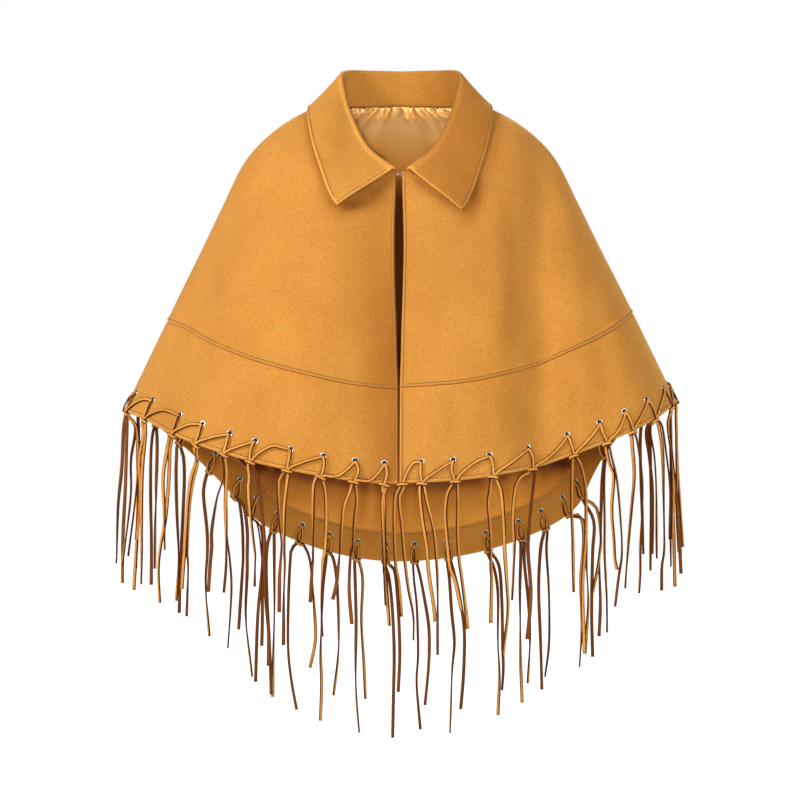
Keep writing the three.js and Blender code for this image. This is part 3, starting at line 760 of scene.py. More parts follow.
def station_curve(points, t):
    """A point on the centripetal curve through the stations."""
    place = (len(points) - 1) * t
    index = min(int(place), len(points) - 2)
    weight = place - index
    p0 = points[index - 1] if index > 0 else 2 * points[0] - points[1]
    p3 = points[index + 2] if index + 2 < len(points) else 2 * points[-1] - points[-2]
    p1, p2 = points[index], points[index + 1]
    d0, d1, d2 = (math.sqrt(np.linalg.norm(b - a)) for a, b in ((p0, p1), (p1, p2), (p2, p3)))
    t1 = ((p1 - p0) / d0 - (p2 - p0) / (d0 + d1) + (p2 - p1) / d1) * d1
    t2 = ((p2 - p1) / d1 - (p3 - p1) / (d1 + d2) + (p3 - p2) / d2) * d1
    square = -3 * p1 + 3 * p2 - 2 * t1 - t2
    cubic = 2 * p1 - 2 * p2 + t1 + t2
    return p1 + weight * (t1 + weight * (square + weight * cubic))


def collar_line(t, way, count):
    """The middle of the collar's cloth, from the neck seam over the roll to its free edge."""
    neck_angle, edge_angle, edge_row = station_curve(COLLAR_STATIONS[:, [0, 4, 5]], t)
    roll = station_curve(COLLAR_STATIONS[:, 1:4], t)
    roll = np.array([way * roll[0] + COLLAR_X, roll[1], roll[2]])

    def turned(angle):
        return angle if way > 0 else 360 - angle

    seam = directions(turned(neck_angle), 0.0)
    foot = outside(turned(neck_angle), 0.0) - seam[2] * COLLAR_WALL / 2 - seam[1] * 0.45
    edge = outside(turned(edge_angle), edge_row) + directions(turned(edge_angle), edge_row)[2] * COLLAR_LIFT
    out = unit(np.array([edge[0] - foot[0], edge[1] - foot[1], 0]))

    def near(across, down):
        return roll + out * across - np.array([0, 0, down])

    fall_top = near(ROLL_RADIUS, ROLL_RADIUS)

    def fall_at(share):
        angle, row = turned(lerp(neck_angle, edge_angle, share)), edge_row * share
        point = lerp(fall_top, edge, share)
        above = directions(angle, row)[2]
        on_cloth = outside(angle, row) + above * (COLLAR_LIFT + COLLAR_SPRING)
        return point + above * max(0, np.dot(on_cloth - point, above))

    controls = [
        foot,
        near(-ROLL_RADIUS, ROLL_RADIUS),
        near(-ROLL_RADIUS * 0.5, ROLL_RADIUS * 0.2),
        near(ROLL_RADIUS * 0.5, ROLL_RADIUS * 0.2),
        fall_top,
        fall_at(0.35),
        fall_at(0.7),
        edge,
    ]
    stand = curve_through(controls[:3], count // 3)
    fall = curve_through(controls[2:], count - count // 3 + 1)
    return np.concatenate([stand, fall[1:]])


COLLAR_HALF = 74
COLLAR_ACROSS = 42
ROLL_ROW = COLLAR_ACROSS // 3
COLLAR_STITCH = 2.4
collar_sections = [collar_line(1 - i / COLLAR_HALF, -1, COLLAR_ACROSS) for i in range(COLLAR_HALF)]
collar_sections += [collar_line(i / COLLAR_HALF, 1, COLLAR_ACROSS) for i in range(COLLAR_HALF + 1)]
collar_middle = np.array(collar_sections).transpose(1, 0, 2)
collar_normals = unit(np.cross(np.gradient(collar_middle, axis=1), np.gradient(collar_middle, axis=0)))
across_length = lengths_along(collar_middle, 0)
from_edge = across_length[-1] - across_length
along_length = lengths_along(collar_middle, 1)
from_end = np.minimum(along_length, along_length[:, -1:] - along_length)
collar_away = np.minimum(from_edge, from_end)
collar_puff = 0.9 * (1 - smooth(2.0, 5, collar_away)) + ditch(collar_away, COLLAR_STITCH, 0.9, 0.5)
collar_puff = collar_puff - 0.7 * (1 - smooth(0, 1.6, collar_away))
half_wall = (COLLAR_WALL / 2 + collar_puff)[..., None]

# Its painted light and shade: lighter along the free edge, as wear and as a painted highlight, a painted
# highlight along the roll, and painted shade inside the roll, more so on the left
COLLAR_WEAR_AND_HIGHLIGHT = {"left": 0.28, "more_on_right": 0.2}
ROLL_HIGHLIGHT = {"row": ROLL_ROW + 0.8, "half": 1.4, "light": 0.24}
INSIDE_ROLL_SHADE = {"dark": 0.54, "less_on_right": 0.24}
collar_row = np.arange(COLLAR_ACROSS)[:, None]
collar_turn = np.abs(np.linspace(-1, 1, collar_middle.shape[1]))[None]
off_the_back = smooth(0.3, 0.5, collar_turn)
collar_wear_and_highlight = COLLAR_WEAR_AND_HIGHLIGHT["left"] + COLLAR_WEAR_AND_HIGHLIGHT["more_on_right"] * smooth(0, 70, collar_middle[..., 0])
collar_shade = 0.5 + edge_shade(collar_away, COLLAR_STITCH, collar_wear_and_highlight)
on_right = smooth(-20, 20, collar_middle[..., 0])
roll_highlight = ROLL_HIGHLIGHT["light"] * np.exp(-(((collar_row - ROLL_HIGHLIGHT["row"]) / ROLL_HIGHLIGHT["half"]) ** 2))
collar_shade = collar_shade + roll_highlight * off_the_back
inside_roll = smooth(ROLL_ROW - 0.5, ROLL_ROW - 2.5, collar_row)
roll_shade = INSIDE_ROLL_SHADE["dark"] - INSIDE_ROLL_SHADE["less_on_right"] * on_right
collar_shade = collar_shade - roll_shade * inside_roll * off_the_back
points, faces, shade = shell_mesh(
    collar_middle - collar_normals * half_wall,
    collar_middle + collar_normals * half_wall,
    collar_shade,
)
collar = put("collar_suede", points, faces, [COLLAR_LOOK], slot="suede", replaces=["collar"], shade=shade)

# Painted shadow on the cloth where a collar point, the collar's roll or the front hem hangs over it
COLLAR_SHADOW = {"across": 7, "down": 6, "reach": 12, "dark": 0.17}
HEM_SHADOW = {"broad": 80, "dark": 0.24, "close": 20, "darkest": 0.2, "spread": 1.13}
ROLL_SHADOW = {"reach": 5.5, "dark": 0.5}
# The share of the hem's shadow that falls on the facing
FACING_SHARE = 0.6

# The height the picture is taken from, how far away, and how far back the neck's lining lies
MIDDLE = -380
AWAY = 3000
BACK_OF_NECK = 120

# Soft places of painted shade on the fronts: x, z, half across, half down, dark
FRONT_SHADES = {
    "left": [
        (-14, -310, 34, 130, 0.2),
        (-8, -450, 30, 50, 0.12),
        (-40, -120, 36, 20, 0.14),
        (-225, -250, 14, 34, 0.04),
        (-62, -134, 16, 9, 0.16),
    ],
    "right": [
        (134, -230, 14, 130, 0.08),
        (118, -400, 30, 50, 0.08),
        (204, -345, 16, 42, 0.05),
        (70, -130, 20, 12, 0.06),
        (94, -112, 9, 30, 0.16),
    ],
}
# Soft places of painted shade inside the back, in the same columns
BACK_SHADES = [(-10, -560, 95, 60, 0.12), (-190, -505, 40, 45, 0.16), (262, -465, 40, 38, 0.2)]
collar_end = ROLL_ROW + 4
collar_edge = np.concatenate(
    [collar_middle[collar_end:, 0], collar_middle[-1], collar_middle[: collar_end - 1 : -1, -1]]
)
front_turn = np.linspace(-89, 89, 179)
front_hem = cloth(front_turn % 360, np.full(179, float(HEM)))


def under_collar(points):
    """How dark the painted shadow is beside the collar's free edge, on its lower and +X side."""
    shifted = collar_edge + np.array([COLLAR_SHADOW["across"], 0, -COLLAR_SHADOW["down"]])
    nearest = np.full(points.shape[:-1], np.inf)
    for spot in shifted:
        nearest = np.minimum(nearest, np.linalg.norm(points - spot, axis=-1))
    return COLLAR_SHADOW["dark"] * np.exp(-((nearest / COLLAR_SHADOW["reach"]) ** 2))


def soft_shades(points, places):
    """How dark the soft places of painted shade make the cloth at some points."""
    dark = np.zeros(points.shape[:-1])
    for x, z, across, down, depth in places:
        away = ((points[..., 0] - x) / across) ** 2 + ((points[..., 2] - z) / down) ** 2
        dark = dark + depth * np.exp(-away)
    return dark


def under_hem(points):
    """How dark the painted shadow makes the inside of the back, below the height of the front hem."""
    spread = HEM_SHADOW["spread"]
    hem_x, hem_z = front_hem[:, 0] * spread, front_hem[:, 2] * spread - MIDDLE * (spread - 1)
    height = np.interp(points[..., 0], hem_x, hem_z)
    below = height - points[..., 2]
    dark = HEM_SHADOW["dark"] * (1 - smooth(0, HEM_SHADOW["broad"], below))
    dark = dark + HEM_SHADOW["darkest"] * (1 - smooth(0, HEM_SHADOW["close"], below))
    return dark + soft_shades(points, BACK_SHADES)


def under_roll(points):
    """How dark the painted shadow makes the lining beside the collar's roll on the left front's side."""
    roll = collar_middle[ROLL_ROW][collar_middle[ROLL_ROW][:, 0] < 0]
    nearest = np.full(points.shape[:-1], np.inf)
    for x, y, z in roll:
        spread = (AWAY + BACK_OF_NECK) / (AWAY + y)
        across, down = x * spread, MIDDLE + (z - MIDDLE) * spread
        nearest = np.minimum(nearest, np.hypot(points[..., 0] - across, points[..., 2] - down))
    dark = ROLL_SHADOW["dark"] * np.exp(-((nearest / ROLL_SHADOW["reach"]) ** 2))
    return dark * smooth(-5, -25, points[..., 0])


def panel(solid, rows, angles, edges, shades=()):
    """A panel of suede on a grid of rows and angles, as a rounded thin shell."""
    rows = np.broadcast_to(rows[:, None], angles.shape)
    outer = cloth(angles, rows, relief(angles, rows, *edges))
    inner = cloth(angles, rows, -SUEDE)
    # Painted light and shade by its edges, painted shadow beside the collar, and soft painted shade
    shade = shade_of(angles, rows, *edges) - under_collar(outer) - soft_shades(outer, shades)
    points, faces, shade = shell_mesh(outer, inner, shade)
    return put(f"{solid}_cloth", points, faces, [SUEDE_LOOK], slot="suede", replaces=[solid], shade=shade)


SEAM_STEPS = np.array([0, 0.4, 1.0, 1.9, 2.6, 3.2, 3.7, 4.3, 5.2, 7.0, 10])
upper_seam = BAND_SEAM - 0.004 - SEAM_STEPS[::-1] / LOWEST_UPPER_ROW
upper_rows = np.concatenate([np.linspace(0.004, 6.8, 118), upper_seam])
band_rows = np.concatenate(
    [
        BAND_SEAM + 0.0012 + np.array([0, 0.5, 1.2, 2.2, 3.6]) / BAND_WIDTH,
        np.linspace(BAND_SEAM + 6 / BAND_WIDTH, HEM - 14 / BAND_WIDTH, 26),
        HEM - SEAM_STEPS[::-1] / BAND_WIDTH,
    ]
)
SIDE_GAP = 0.03
back_ends = (90 + SIDE_GAP, 270 - SIDE_GAP)
back_angles = np.linspace(*back_ends, 250)
# Each level of panels: how its names start, its rows, and its edges but for the opening
LEVELS = [("", upper_rows, ["seam_below"]), ("band_", band_rows, ["hem", "seam_above"])]

panels = {}
for side, word in ((1, "right"), (-1, "left")):
    for level, rows, edges in LEVELS:
        solid = f"{level}front_{word}"
        columns = front_columns(rows, side)
        panels[solid] = panel(solid, rows, columns, ["opening", *edges], FRONT_SHADES[word])
for level, rows, edges in LEVELS:
    solid = f"{level}back"
    panels[solid] = panel(solid, rows, np.tile(back_angles, (len(rows), 1)), edges)

# The facing inside the back hem, and the lining above it
inside_face = -SUEDE - LAYER_GAP
facing_rows = np.linspace(FACING_ROW, HEM - 1 / BAND_WIDTH, 22)
facing_angles = np.tile(back_angles, (len(facing_rows), 1))
facing_grid = np.broadcast_to(facing_rows[:, None], facing_angles.shape)
facing_top = (facing_grid - FACING_ROW) * BAND_WIDTH
facing_sink = 0.7 * (1 - smooth(0, 2.2, facing_top)) - ditch(facing_top, FACING_STITCH, 0.9, 0.4)
# Painted light and shade by its top edge and stitching, and a share of the painted shadow under the front hem
facing_shade = 0.5 + edge_shade(facing_top, FACING_STITCH, 0.15)
facing_shade = facing_shade - FACING_SHARE * under_hem(cloth(facing_angles, facing_grid))
points, faces, shade = shell_mesh(
    cloth(facing_angles, facing_grid, inside_face),
    cloth(facing_angles, facing_grid, inside_face - FACING + facing_sink * 0.5),
    facing_shade,
)
hem_facing = put(
    "facing_cloth", points, faces, [INSIDE_LOOK], slot="suede", replaces=["facing_back"], shade=shade
)

GATHERS = 26
SOFT_WAVES = 34
# How deep the lining's gathers and waves are
DEPTHS = {"ruffle": 8.5, "crinkle": 1.1, "broad": 2.6, "soft": 1.4, "slack": 1.4}


def gathering(angle, row):
    """How far gathers at the neck seam, and soft waves below them, take the lining in; and its painted light
    and shade.
    """
    share = (angle - 90) / 180
    wander = 0.22 * np.sin(share * 31) + 0.16 * np.sin(share * 67 + 1) + 0.05 * np.sin(row * 9 + share * 50)
    phase = share * GATHERS * 2 * math.pi + 2 * math.pi * wander
    uneven = 0.65 + 0.35 * np.sin(share * 43 + 2)
    crest = np.abs(np.sin(phase / 2)) ** 1.6
    pinch = 0.5 + 0.5 * np.sin(phase * 0.5 + 2 * np.sin(share * 19))
    fade = 1 - smooth(0.25, 1.5, row)
    lip = 0.35 + 0.65 * smooth(-0.06, 0.05, row)
    crinkle = DEPTHS["crinkle"] * np.sin(phase * 1.9 + 14 * row + 3 * np.sin(share * 29))
    crinkle = crinkle * (1 - smooth(0.1, 0.4, row))
    broad = smooth(0.1, 0.7, row) * (1 - smooth(0.8, 3.2, row)) * pinch
    waves = np.sin(share * SOFT_WAVES * 2 * math.pi + 2.4 * np.sin(share * 23) + 0.6 * np.sin(row * 2))
    soft = (1.6 + waves) * (0.6 + 0.4 * np.sin(share * 37 + 1)) * smooth(4.5, 6.4, row)
    soft = soft * (1 - 0.85 * smooth(7.35, FACING_ROW, row))
    ruffle = (DEPTHS["ruffle"] * uneven * crest * (0.5 + 0.5 * pinch) * fade + crinkle) * lip
    puckered = 1 - smooth(0.2, 0.9, row)
    # Painted highlights on the crests of the gathers and painted shade between them, then painted shade along
    # the soft waves
    shade = 0.5 + (0.85 * crest * (0.5 + 0.5 * pinch) - 0.2) * puckered
    shade = shade + 0.12 * (pinch - 0.5) * (1 - smooth(0.6, 3.5, row))
    shade = shade + 0.05 * (soft - 1) * smooth(4.5, 6.4, row)
    return ruffle + DEPTHS["broad"] * broad + DEPTHS["soft"] * soft + DEPTHS["slack"], shade


lining_rows = np.concatenate(
    [np.linspace(-0.04, 0.5, 30), np.linspace(0.54, 1.6, 26), np.linspace(1.66, FACING_ROW - 0.003, 66)]
)
LINING_COLUMNS = 396
lining_angles = np.tile(np.linspace(*back_ends, LINING_COLUMNS), (len(lining_rows), 1))
lining_grid = np.broadcast_to(lining_rows[:, None], lining_angles.shape)
gathered, lining_shade = gathering(lining_angles, lining_grid)
lining_plain = cloth(lining_angles, lining_grid)
# Painted shadow beside the collar's roll and below the front hem
lining_shade = lining_shade - under_roll(lining_plain)
lining_shade = lining_shade - under_hem(lining_plain) * smooth(4.5, 6, lining_grid)
points, faces, shade = shell_mesh(
    cloth(lining_angles, lining_grid, inside_face - gathered),
    cloth(lining_angles, lining_grid, inside_face - gathered - LINING),
    lining_shade,
)
lining = put(
    "lining_satin", points, faces, [SATIN_LOOK], slot="lining", replaces=["lining_back"], shade=shade
)

# Each sheet as it was cut: width and length of the piece it is cut from, and its own area
SHEETS = [
    (panels["front_right"], (0.40, 0.385), 0.0954, "hung", []),
    (panels["front_left"], (0.40, 0.385), 0.0944, "hung", []),
    (panels["back"], (0.87, 0.56), 0.2727, "hung", []),
    (panels["band_front_right"], (0.46, 0.15), 0.0529, "hung", ["front_right_cloth"]),
    (panels["band_front_left"], (0.46, 0.15), 0.0518, "hung", ["front_left_cloth"]),
    (panels["band_back"], (1.07, 0.27), 0.1259, "hung", ["back_cloth"]),
    (hem_facing, (1.11, 0.047), None, "hung", ["band_back_cloth"]),
    (lining, (0.95, 0.65), 0.37, "gathered", ["back_cloth"]),
    (collar, (0.69, 0.15), 0.0556, "folded", ["front_right_cloth", "front_left_cloth", "back_cloth"]),
]
for sheet, flat, area, held, rests_on in SHEETS:
    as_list(rests_on)

# Stitching: rows of short threads pressed into the suede, with a dark spindle painted as the shade of a
# needle hole between each two
stitches = Joined()
STITCH_SECTION = np.array([(-1, 0), (0, 1), (1, 0), (0, -1)])
STITCH_PLACES = np.array([0, 0.25, 0.75, 1])
STITCH_FACES = closed_tube_faces(len(STITCH_PLACES), len(STITCH_SECTION))


def stitch_row(points, facing):
    """Adds a row of threads and holes along points that lie on the cloth."""
    lengths = lengths_along(points)

    def spindle(start, length, width, height, ends, middle, look):
        places = start + length * STITCH_PLACES
        up = read_at(places, lengths, facing)
        line = read_at(places, lengths, points) + up * np.array([ends, middle, middle, ends])[:, None]
        rings = swept(line, up, STITCH_SECTION * (width / 2, height / 2))
        stitches.add(rings, STITCH_FACES, [look] * len(STITCH_FACES))

    for start in np.arange(STITCH["pitch"], lengths[-1] - STITCH["pitch"], STITCH["pitch"]):
        spindle(start, STITCH["length"], STITCH["width"], STITCH["height"], -0.2, 0.2, 0)
        # A dark spindle painted as the shade in the needle hole
        hole = start + STITCH["length"] + 0.1
        spindle(hole, STITCH["hole"], STITCH["hole"], STITCH["height"], 0.0, 0.0, 1)


def cloth_stitches(angles, rows, *edges):
    """A row of stitching over the outside of a panel with these edges."""
    angles, rows = np.broadcast_arrays(np.asarray(angles, float), np.asarray(rows, float))
    points = cloth(angles, rows, relief(angles, rows, *edges))
    stitch_row(points, directions(angles, rows)[2])


hem_row = HEM - HEM_STITCH / BAND_WIDTH
seam_row = BAND_SEAM - SEAM_STITCH / LOWEST_UPPER_ROW
for side in (1, -1):
    spread = np.linspace(EDGE_STITCH / 6.2, 89.6, 500)
    around = spread if side > 0 else 360 - spread
    cloth_stitches(around, hem_row, "opening", "hem")
    cloth_stitches(around, seam_row, "opening", "seam_below")
    for rows, edges in (
        (np.linspace(0.3, BAND_SEAM - 0.05, 300), ["seam_below"]),
        (np.linspace(BAND_SEAM + 0.02, HEM - 0.035, 100), ["hem", "seam_above"]),
    ):
        turn = np.degrees(np.arcsin(EDGE_STITCH / section_value("half", rows)))
        cloth_stitches(turn if side > 0 else 360 - turn, rows, "opening", *edges)
behind = np.linspace(90.4, 269.6, 800)
cloth_stitches(behind, hem_row, "hem")
cloth_stitches(behind, seam_row, "seam_below")
inner_row = np.full_like(behind, FACING_ROW + FACING_STITCH / BAND_WIDTH)
stitch_row(cloth(behind, inner_row, inside_face - FACING + 0.2), -directions(behind, inner_row)[2])


def collar_stitches(rows, columns):
    """A row of stitching over the collar, given grid places that may fall between its points."""
    r0, c0 = np.floor(rows).astype(int), np.floor(columns).astype(int)
    r0, c0 = np.minimum(r0, COLLAR_ACROSS - 2), np.minimum(c0, collar_middle.shape[1] - 2)
    fr, fc = (rows - r0)[:, None], (columns - c0)[:, None]

    def at(grid):
        top = lerp(grid[r0, c0], grid[r0, c0 + 1], fc)
        return lerp(top, lerp(grid[r0 + 1, c0], grid[r0 + 1, c0 + 1], fc), fr)

    surface = collar_middle + collar_normals * half_wall
    stitch_row(at(surface), unit(at(collar_normals)))


columns = np.arange(collar_middle.shape[1])
collar_rows = np.arange(COLLAR_ACROSS)
edge_rows = np.array([np.interp(-COLLAR_STITCH, -from_edge[:, c], collar_rows) for c in columns])
inner_columns = from_end[-1] > COLLAR_STITCH
collar_stitches(edge_rows[inner_columns], columns[inner_columns].astype(float))
for way in (0, 1):
    line_rows = np.linspace(COLLAR_ACROSS * 0.36, edge_rows[-3], 60)
    spots = []
    for row in line_rows:
        line = along_length[int(row)]
        reach = line if way == 0 else line[-1] - line[::-1]
        place = np.interp(COLLAR_STITCH, reach, np.arange(len(line)))
        spots.append(place if way == 0 else len(line) - 1 - place)
    collar_stitches(line_rows, np.array(spots))

stitches.put("stitching", [THREAD_LOOK, HOLE_SHADE_LOOK], slot="suede")

# A dark strip painted as the shadow in each seam between an upper panel and its band, and along the
# top of the facing inside the back
seam_lines = Joined()
SEAM_SPANS = [(0.5, 89.8, ["opening"]), (90.2, 269.8, []), (270.2, 359.5, ["opening"])]
for start, end, edges in SEAM_SPANS:
    angles = np.linspace(start, end, int((end - start) * 2))
    line = cloth(angles, BAND_SEAM, relief(angles, BAND_SEAM, *edges, "seam_above") + 0.2)
    facing = directions(angles, BAND_SEAM)[2]
    add_strip(seam_lines, line, facing, SEAM_LINE["width"], SEAM_LINE["thickness"])
inner_line = cloth(behind, FACING_ROW - 0.4 / BAND_WIDTH, inside_face - FACING * 0.4)
add_strip(seam_lines, inner_line, -directions(behind, FACING_ROW)[2], 2.0, 0.8)
seam_lines.put("seam_lines", [SEAM_LOOK] * 3, slot="suede")

# Eyelets: a rolled flange on each face, and a dark disc on each face painted as the shade in the bore
eyelets = Joined()


def add_lathe(joined, profile, place, axes, look):
    """Adds a turned ring from a profile of radius and height."""
    turn = np.linspace(0, 2 * math.pi, EYELET["sides"], endpoint=False)
    rings = []
    for radius, height in profile:
        flat = radius * (np.cos(turn)[:, None] * axes[0] + np.sin(turn)[:, None] * axes[1])
        rings.append(place + flat + height * axes[2])
    faces = [(a, d, c, b) for a, b, c, d in tube_faces(len(profile), len(turn))]
    joined.add(np.array(rings), faces, [look] * len(faces))


def eyelet_profile(out, back):
    """Half section of an eyelet, from the outer flange's rim over its roll and through to the inner one."""
    hole, flange, rim = EYELET["hole"], EYELET["flange"], EYELET["rim"]
    middle = (hole + flange) / 2
    across = (flange - hole) / 2
    arc = [(middle + across * math.cos(a), rim * math.sin(a)) for a in np.linspace(0, math.pi, 9)]
    outer = [(r, out + h) for r, h in arc]
    inner = [(r, back - h) for r, h in reversed(arc)]
    return outer + inner


def add_eyelet(angle, lined):
    stack = SUEDE + LAYER_GAP + FACING if lined else SUEDE
    around, _, out = directions(angle, EYELET_ROW)
    place = cloth(angle, EYELET_ROW)
    axes = (around, np.cross(out, around), out)
    add_lathe(eyelets, eyelet_profile(0.1, -stack - 0.1), place, axes, 0)
    # A dark disc on each face, painted shade in the bore
    cover = [(EYELET["hole"] + 0.2, 0), (EYELET["hole"] * 0.5, 0), (0.001, 0)]
    for height in (0.25, -stack - 0.25):
        profile = [(r, height) for r, _ in cover]
        add_lathe(eyelets, profile if height > 0 else profile[::-1], place, axes, 1)


for angle in RIGHT_ANGLES + LEFT_ANGLES:
    add_eyelet(angle, False)
for angle in BACK_ANGLES:
    add_eyelet(angle, True)
numbers = [f"eyelet_{n:02d}" for n in range(1, len(RIGHT_ANGLES + BACK_ANGLES + LEFT_ANGLES) + 1)]
eyelets.put("eyelet_rings", [NICKEL_LOOK, HOLE_SHADE_LOOK], slot="metal", replaces=numbers)


# Lacing, knots and fringe. Their directions are those of the cloth on a row close to the hem.
LACE_ROW = 7.9
KNOT_ROW = 7.98


def hem_point(angle, rise, off, past=0.0):
    """A place by the hem: so far above it (or past it) and so far out."""
    row = HEM - rise / BAND_WIDTH
    return cloth(angle, row, off) + directions(angle, row)[1] * past


# How the lacing of each front eyelet lies: how far the long cord up to it bows up (below 0 sags), and
# how far the short cord down from it bulges sideways, in millimetres
LACING = {
    4: (0.9, -1.5), 10: (0.15, -3.5), 17: (0.5, 1.5), 25.5: (0.05, 3), 35: (-0.3, 0.5),
    43.5: (-0.15, -1), 51: (-0.4, 2), 60: (0, 3), 73: (0.1, 1), 86: (0.1, 1),
    282.5: (0.2, -1), 295: (0.6, -1), 310.5: (0.65, 0), 318.5: (0.5, 0.5), 326: (0.15, 0.5),
    332: (0.15, -2.5), 339.5: (1.0, 0.5), 346: (0.15, 2.5), 352: (-0.8, 5), 357.5: (-0.95, 3),
}

# How the two strands of a knot hang, where they can be told apart: for each, how far it is to the
# side (+X) of the knot and how far below it, in millimetres, from its first bend down to its end
STRANDS = {
    0.6: ([(-9, 15), (-10, 61), (-8, 102), (-5, 117), (-1, 161)],
          [(-4, 17), (-1, 48), (2, 85), (7, 126), (13, 160), (13, 190)]),
    4: ([(-2, 17), (1, 45), (6, 78), (8, 106), (14, 147), (16, 168)],
        [(7, 25), (15, 58), (18, 94), (19, 118), (19, 167), (19, 208)]),
    10: ([(-9, 14), (-12, 37), (-10, 72), (-7, 104), (-1, 120), (7, 156)],
         [(3, 23), (3, 63), (5, 96), (8, 117), (12, 149), (15, 179)]),
    17: ([(-4, 18), (-6, 33), (-3, 69), (-3, 110), (-2, 126), (-3, 178)],
         [(10, 17), (13, 61), (14, 93), (17, 133), (18, 166), (12, 217)]),
    25.5: ([(-15, 10), (-22, 28), (-25, 65), (-24, 88), (-26, 128), (-28, 160)],
           [(2, 13), (-2, 43), (-6, 87), (-6, 104), (-3, 149), (-6, 187), (-9, 208)]),
    35: ([(-2, 21), (-3, 59), (-2, 103), (-2, 120), (-1, 168)],
         [(9, 12), (14, 36), (15, 59), (14, 103), (12, 128), (10, 168), (12, 244)]),
    43.5: ([(3, 26), (8, 41), (5, 82), (7, 119), (8, 144), (11, 156)],
           [(6, 17), (12, 44), (16, 89), (18, 136), (14, 165), (9, 202)]),
    51: ([(-1, 13), (1, 51), (-2, 88), (-6, 133), (-9, 171), (-11, 194)],
         [(6, 13), (11, 51), (12, 88), (9, 141), (8, 175), (6, 200)]),
    60: ([(3, 2), (8, 35), (8, 89), (8, 158), (5, 183), (5, 213)], [(8, 5), (12, 35), (15, 89), (12, 149)]),
    73: ([(-5, 21), (-2, 60), (-2, 106), (-3, 167)], [(-2, 21), (1, 83), (4, 135), (6, 211)]),
    357.5: ([(0, 20), (0, 61), (1, 110), (2, 118), (6, 172)],
            [(-2, 20), (-1, 61), (0, 110), (0, 101), (2, 147)]),
    352: ([(-4, 10), (-11, 28), (-14, 51), (-17, 88), (-20, 121), (-25, 143)],
          [(4, 23), (1, 48), (-2, 88), (-3, 80), (-5, 129), (-2, 173)]),
    346: ([(-6, 1), (-9, 15), (-9, 53), (-9, 102), (-10, 109), (-12, 152)],
          [(6, 20), (7, 53), (5, 93), (3, 101), (1, 150), (3, 194)]),
    339.5: ([(-9, 9), (-10, 25), (-8, 64), (-6, 92), (-8, 132), (-8, 172)],
            [(0, 17), (-3, 48), (-3, 95), (-2, 116), (-3, 164), (-3, 212)]),
    332: ([(-1, 20), (-2, 32), (2, 74), (7, 113), (7, 119), (6, 152)],
          [(9, 21), (14, 56), (18, 98), (17, 119), (20, 175), (23, 207), (23, 249)]),
    326: ([(0, 28), (-7, 53), (-13, 92), (-13, 113), (-15, 137), (-17, 168)],
          [(4, 21), (3, 60), (4, 107), (4, 113), (4, 137), (2, 169)]),
    318.5: ([(2, 17), (-5, 41), (-9, 80), (-11, 128), (-12, 149), (-13, 177)],
            [(3, 21), (-3, 49), (-7, 88), (-9, 136), (-8, 149), (-9, 211)]),
    310.5: ([(-6, 22), (-10, 53), (-9, 93), (-7, 142)],
            [(-2, 17), (-3, 53), (-7, 101), (-13, 141), (-14, 171), (-11, 208)]),
    295: ([(0, 17), (-5, 49), (-4, 89), (-7, 151)], [(2, 17), (-1, 65), (-2, 130), (-1, 175), (0, 207)]),
    282.5: ([(11, 18), (7, 59), (9, 100), (6, 141), (-2, 194)], [(12, 18), (15, 59), (13, 108), (8, 183)]),
    266: ([(-5, 22), (-6, 72), (-10, 122), (-13, 188), (-14, 199)], []),
    227.3: ([(-7, 18), (-8, 35), (-4, 79), (-4, 111), (-7, 155), (-3, 225)],
            [(12, -1), (20, 12), (22, 35), (23, 87), (27, 120), (29, 164), (24, 241)]),
    221: ([(6, 1), (12, 36), (14, 79), (13, 103), (8, 181)],
          [(13, 9), (19, 44), (19, 79), (19, 103), (18, 166), (28, 246)]),
    214: ([(10, 11), (17, 55), (17, 80), (13, 143), (13, 231)],
          [(15, 16), (19, 55), (18, 89), (19, 143), (20, 181)]),
    201: ([(-11, 8), (-12, 15), (-15, 70), (-16, 143), (-12, 188), (-4, 234)],
          [(4, 0), (14, 21), (19, 68), (22, 116), (21, 143), (14, 176)]),
    195: ([(-2, 11), (-6, 43), (-9, 99), (-10, 143), (-9, 186), (-11, 237)],
          [(8, 9), (13, 43), (15, 99), (14, 148), (8, 201)]),
    189: ([(-2, 26), (-1, 86), (-2, 143), (-1, 195), (3, 244)],
          [(6, 11), (9, 34), (7, 86), (10, 143), (12, 197)]),
    183: ([(4, 18), (9, 59), (12, 123), (11, 185), (10, 246)],
          [(12, 11), (16, 41), (19, 89), (20, 134), (18, 182)]),
    177: ([(-1, 26), (3, 63), (5, 129), (3, 170), (8, 235)],
          [(7, 18), (13, 48), (20, 90), (21, 127), (19, 161), (15, 201)]),
    170: ([(1, 27), (4, 72), (8, 117), (5, 158), (2, 245)],
          [(9, 25), (16, 57), (22, 102), (21, 162), (17, 212)]),
    161.5: ([(8, 26), (13, 62), (13, 124), (15, 177), (13, 231)],
            [(15, 22), (19, 73), (20, 135), (21, 165), (19, 196)]),
    154: ([(-2, 28), (-3, 78), (-2, 162), (0, 229)], [(3, 34), (9, 89), (11, 138), (8, 201)]),
    148.5: ([(-7, 26), (-10, 81), (-8, 154), (-6, 224)], [(1, 30), (4, 85), (4, 158), (-2, 207)]),
    142: ([(16, 1), (21, 34), (16, 89), (16, 154), (12, 211)],
          [(20, 6), (24, 34), (24, 71), (25, 125), (20, 192)]),
    135: ([(14, 32), (11, 75), (8, 157), (10, 217)], [(18, 15), (23, 57), (21, 93), (21, 147), (17, 189)]),
    126.5: ([(-3, 31), (-4, 80), (-5, 122), (-8, 149), (-15, 185)],
            [(0, 31), (1, 96), (1, 131), (4, 193), (5, 239)]),
    107: ([(-19, 30), (-17, 66), (-15, 106), (-17, 154), (-18, 198)],
          [(-14, 28), (-10, 66), (-8, 114), (-12, 204)]),
}


SHORT_PIECES = 18
LONG_PIECES = 26
INSIDE_PIECES = 16


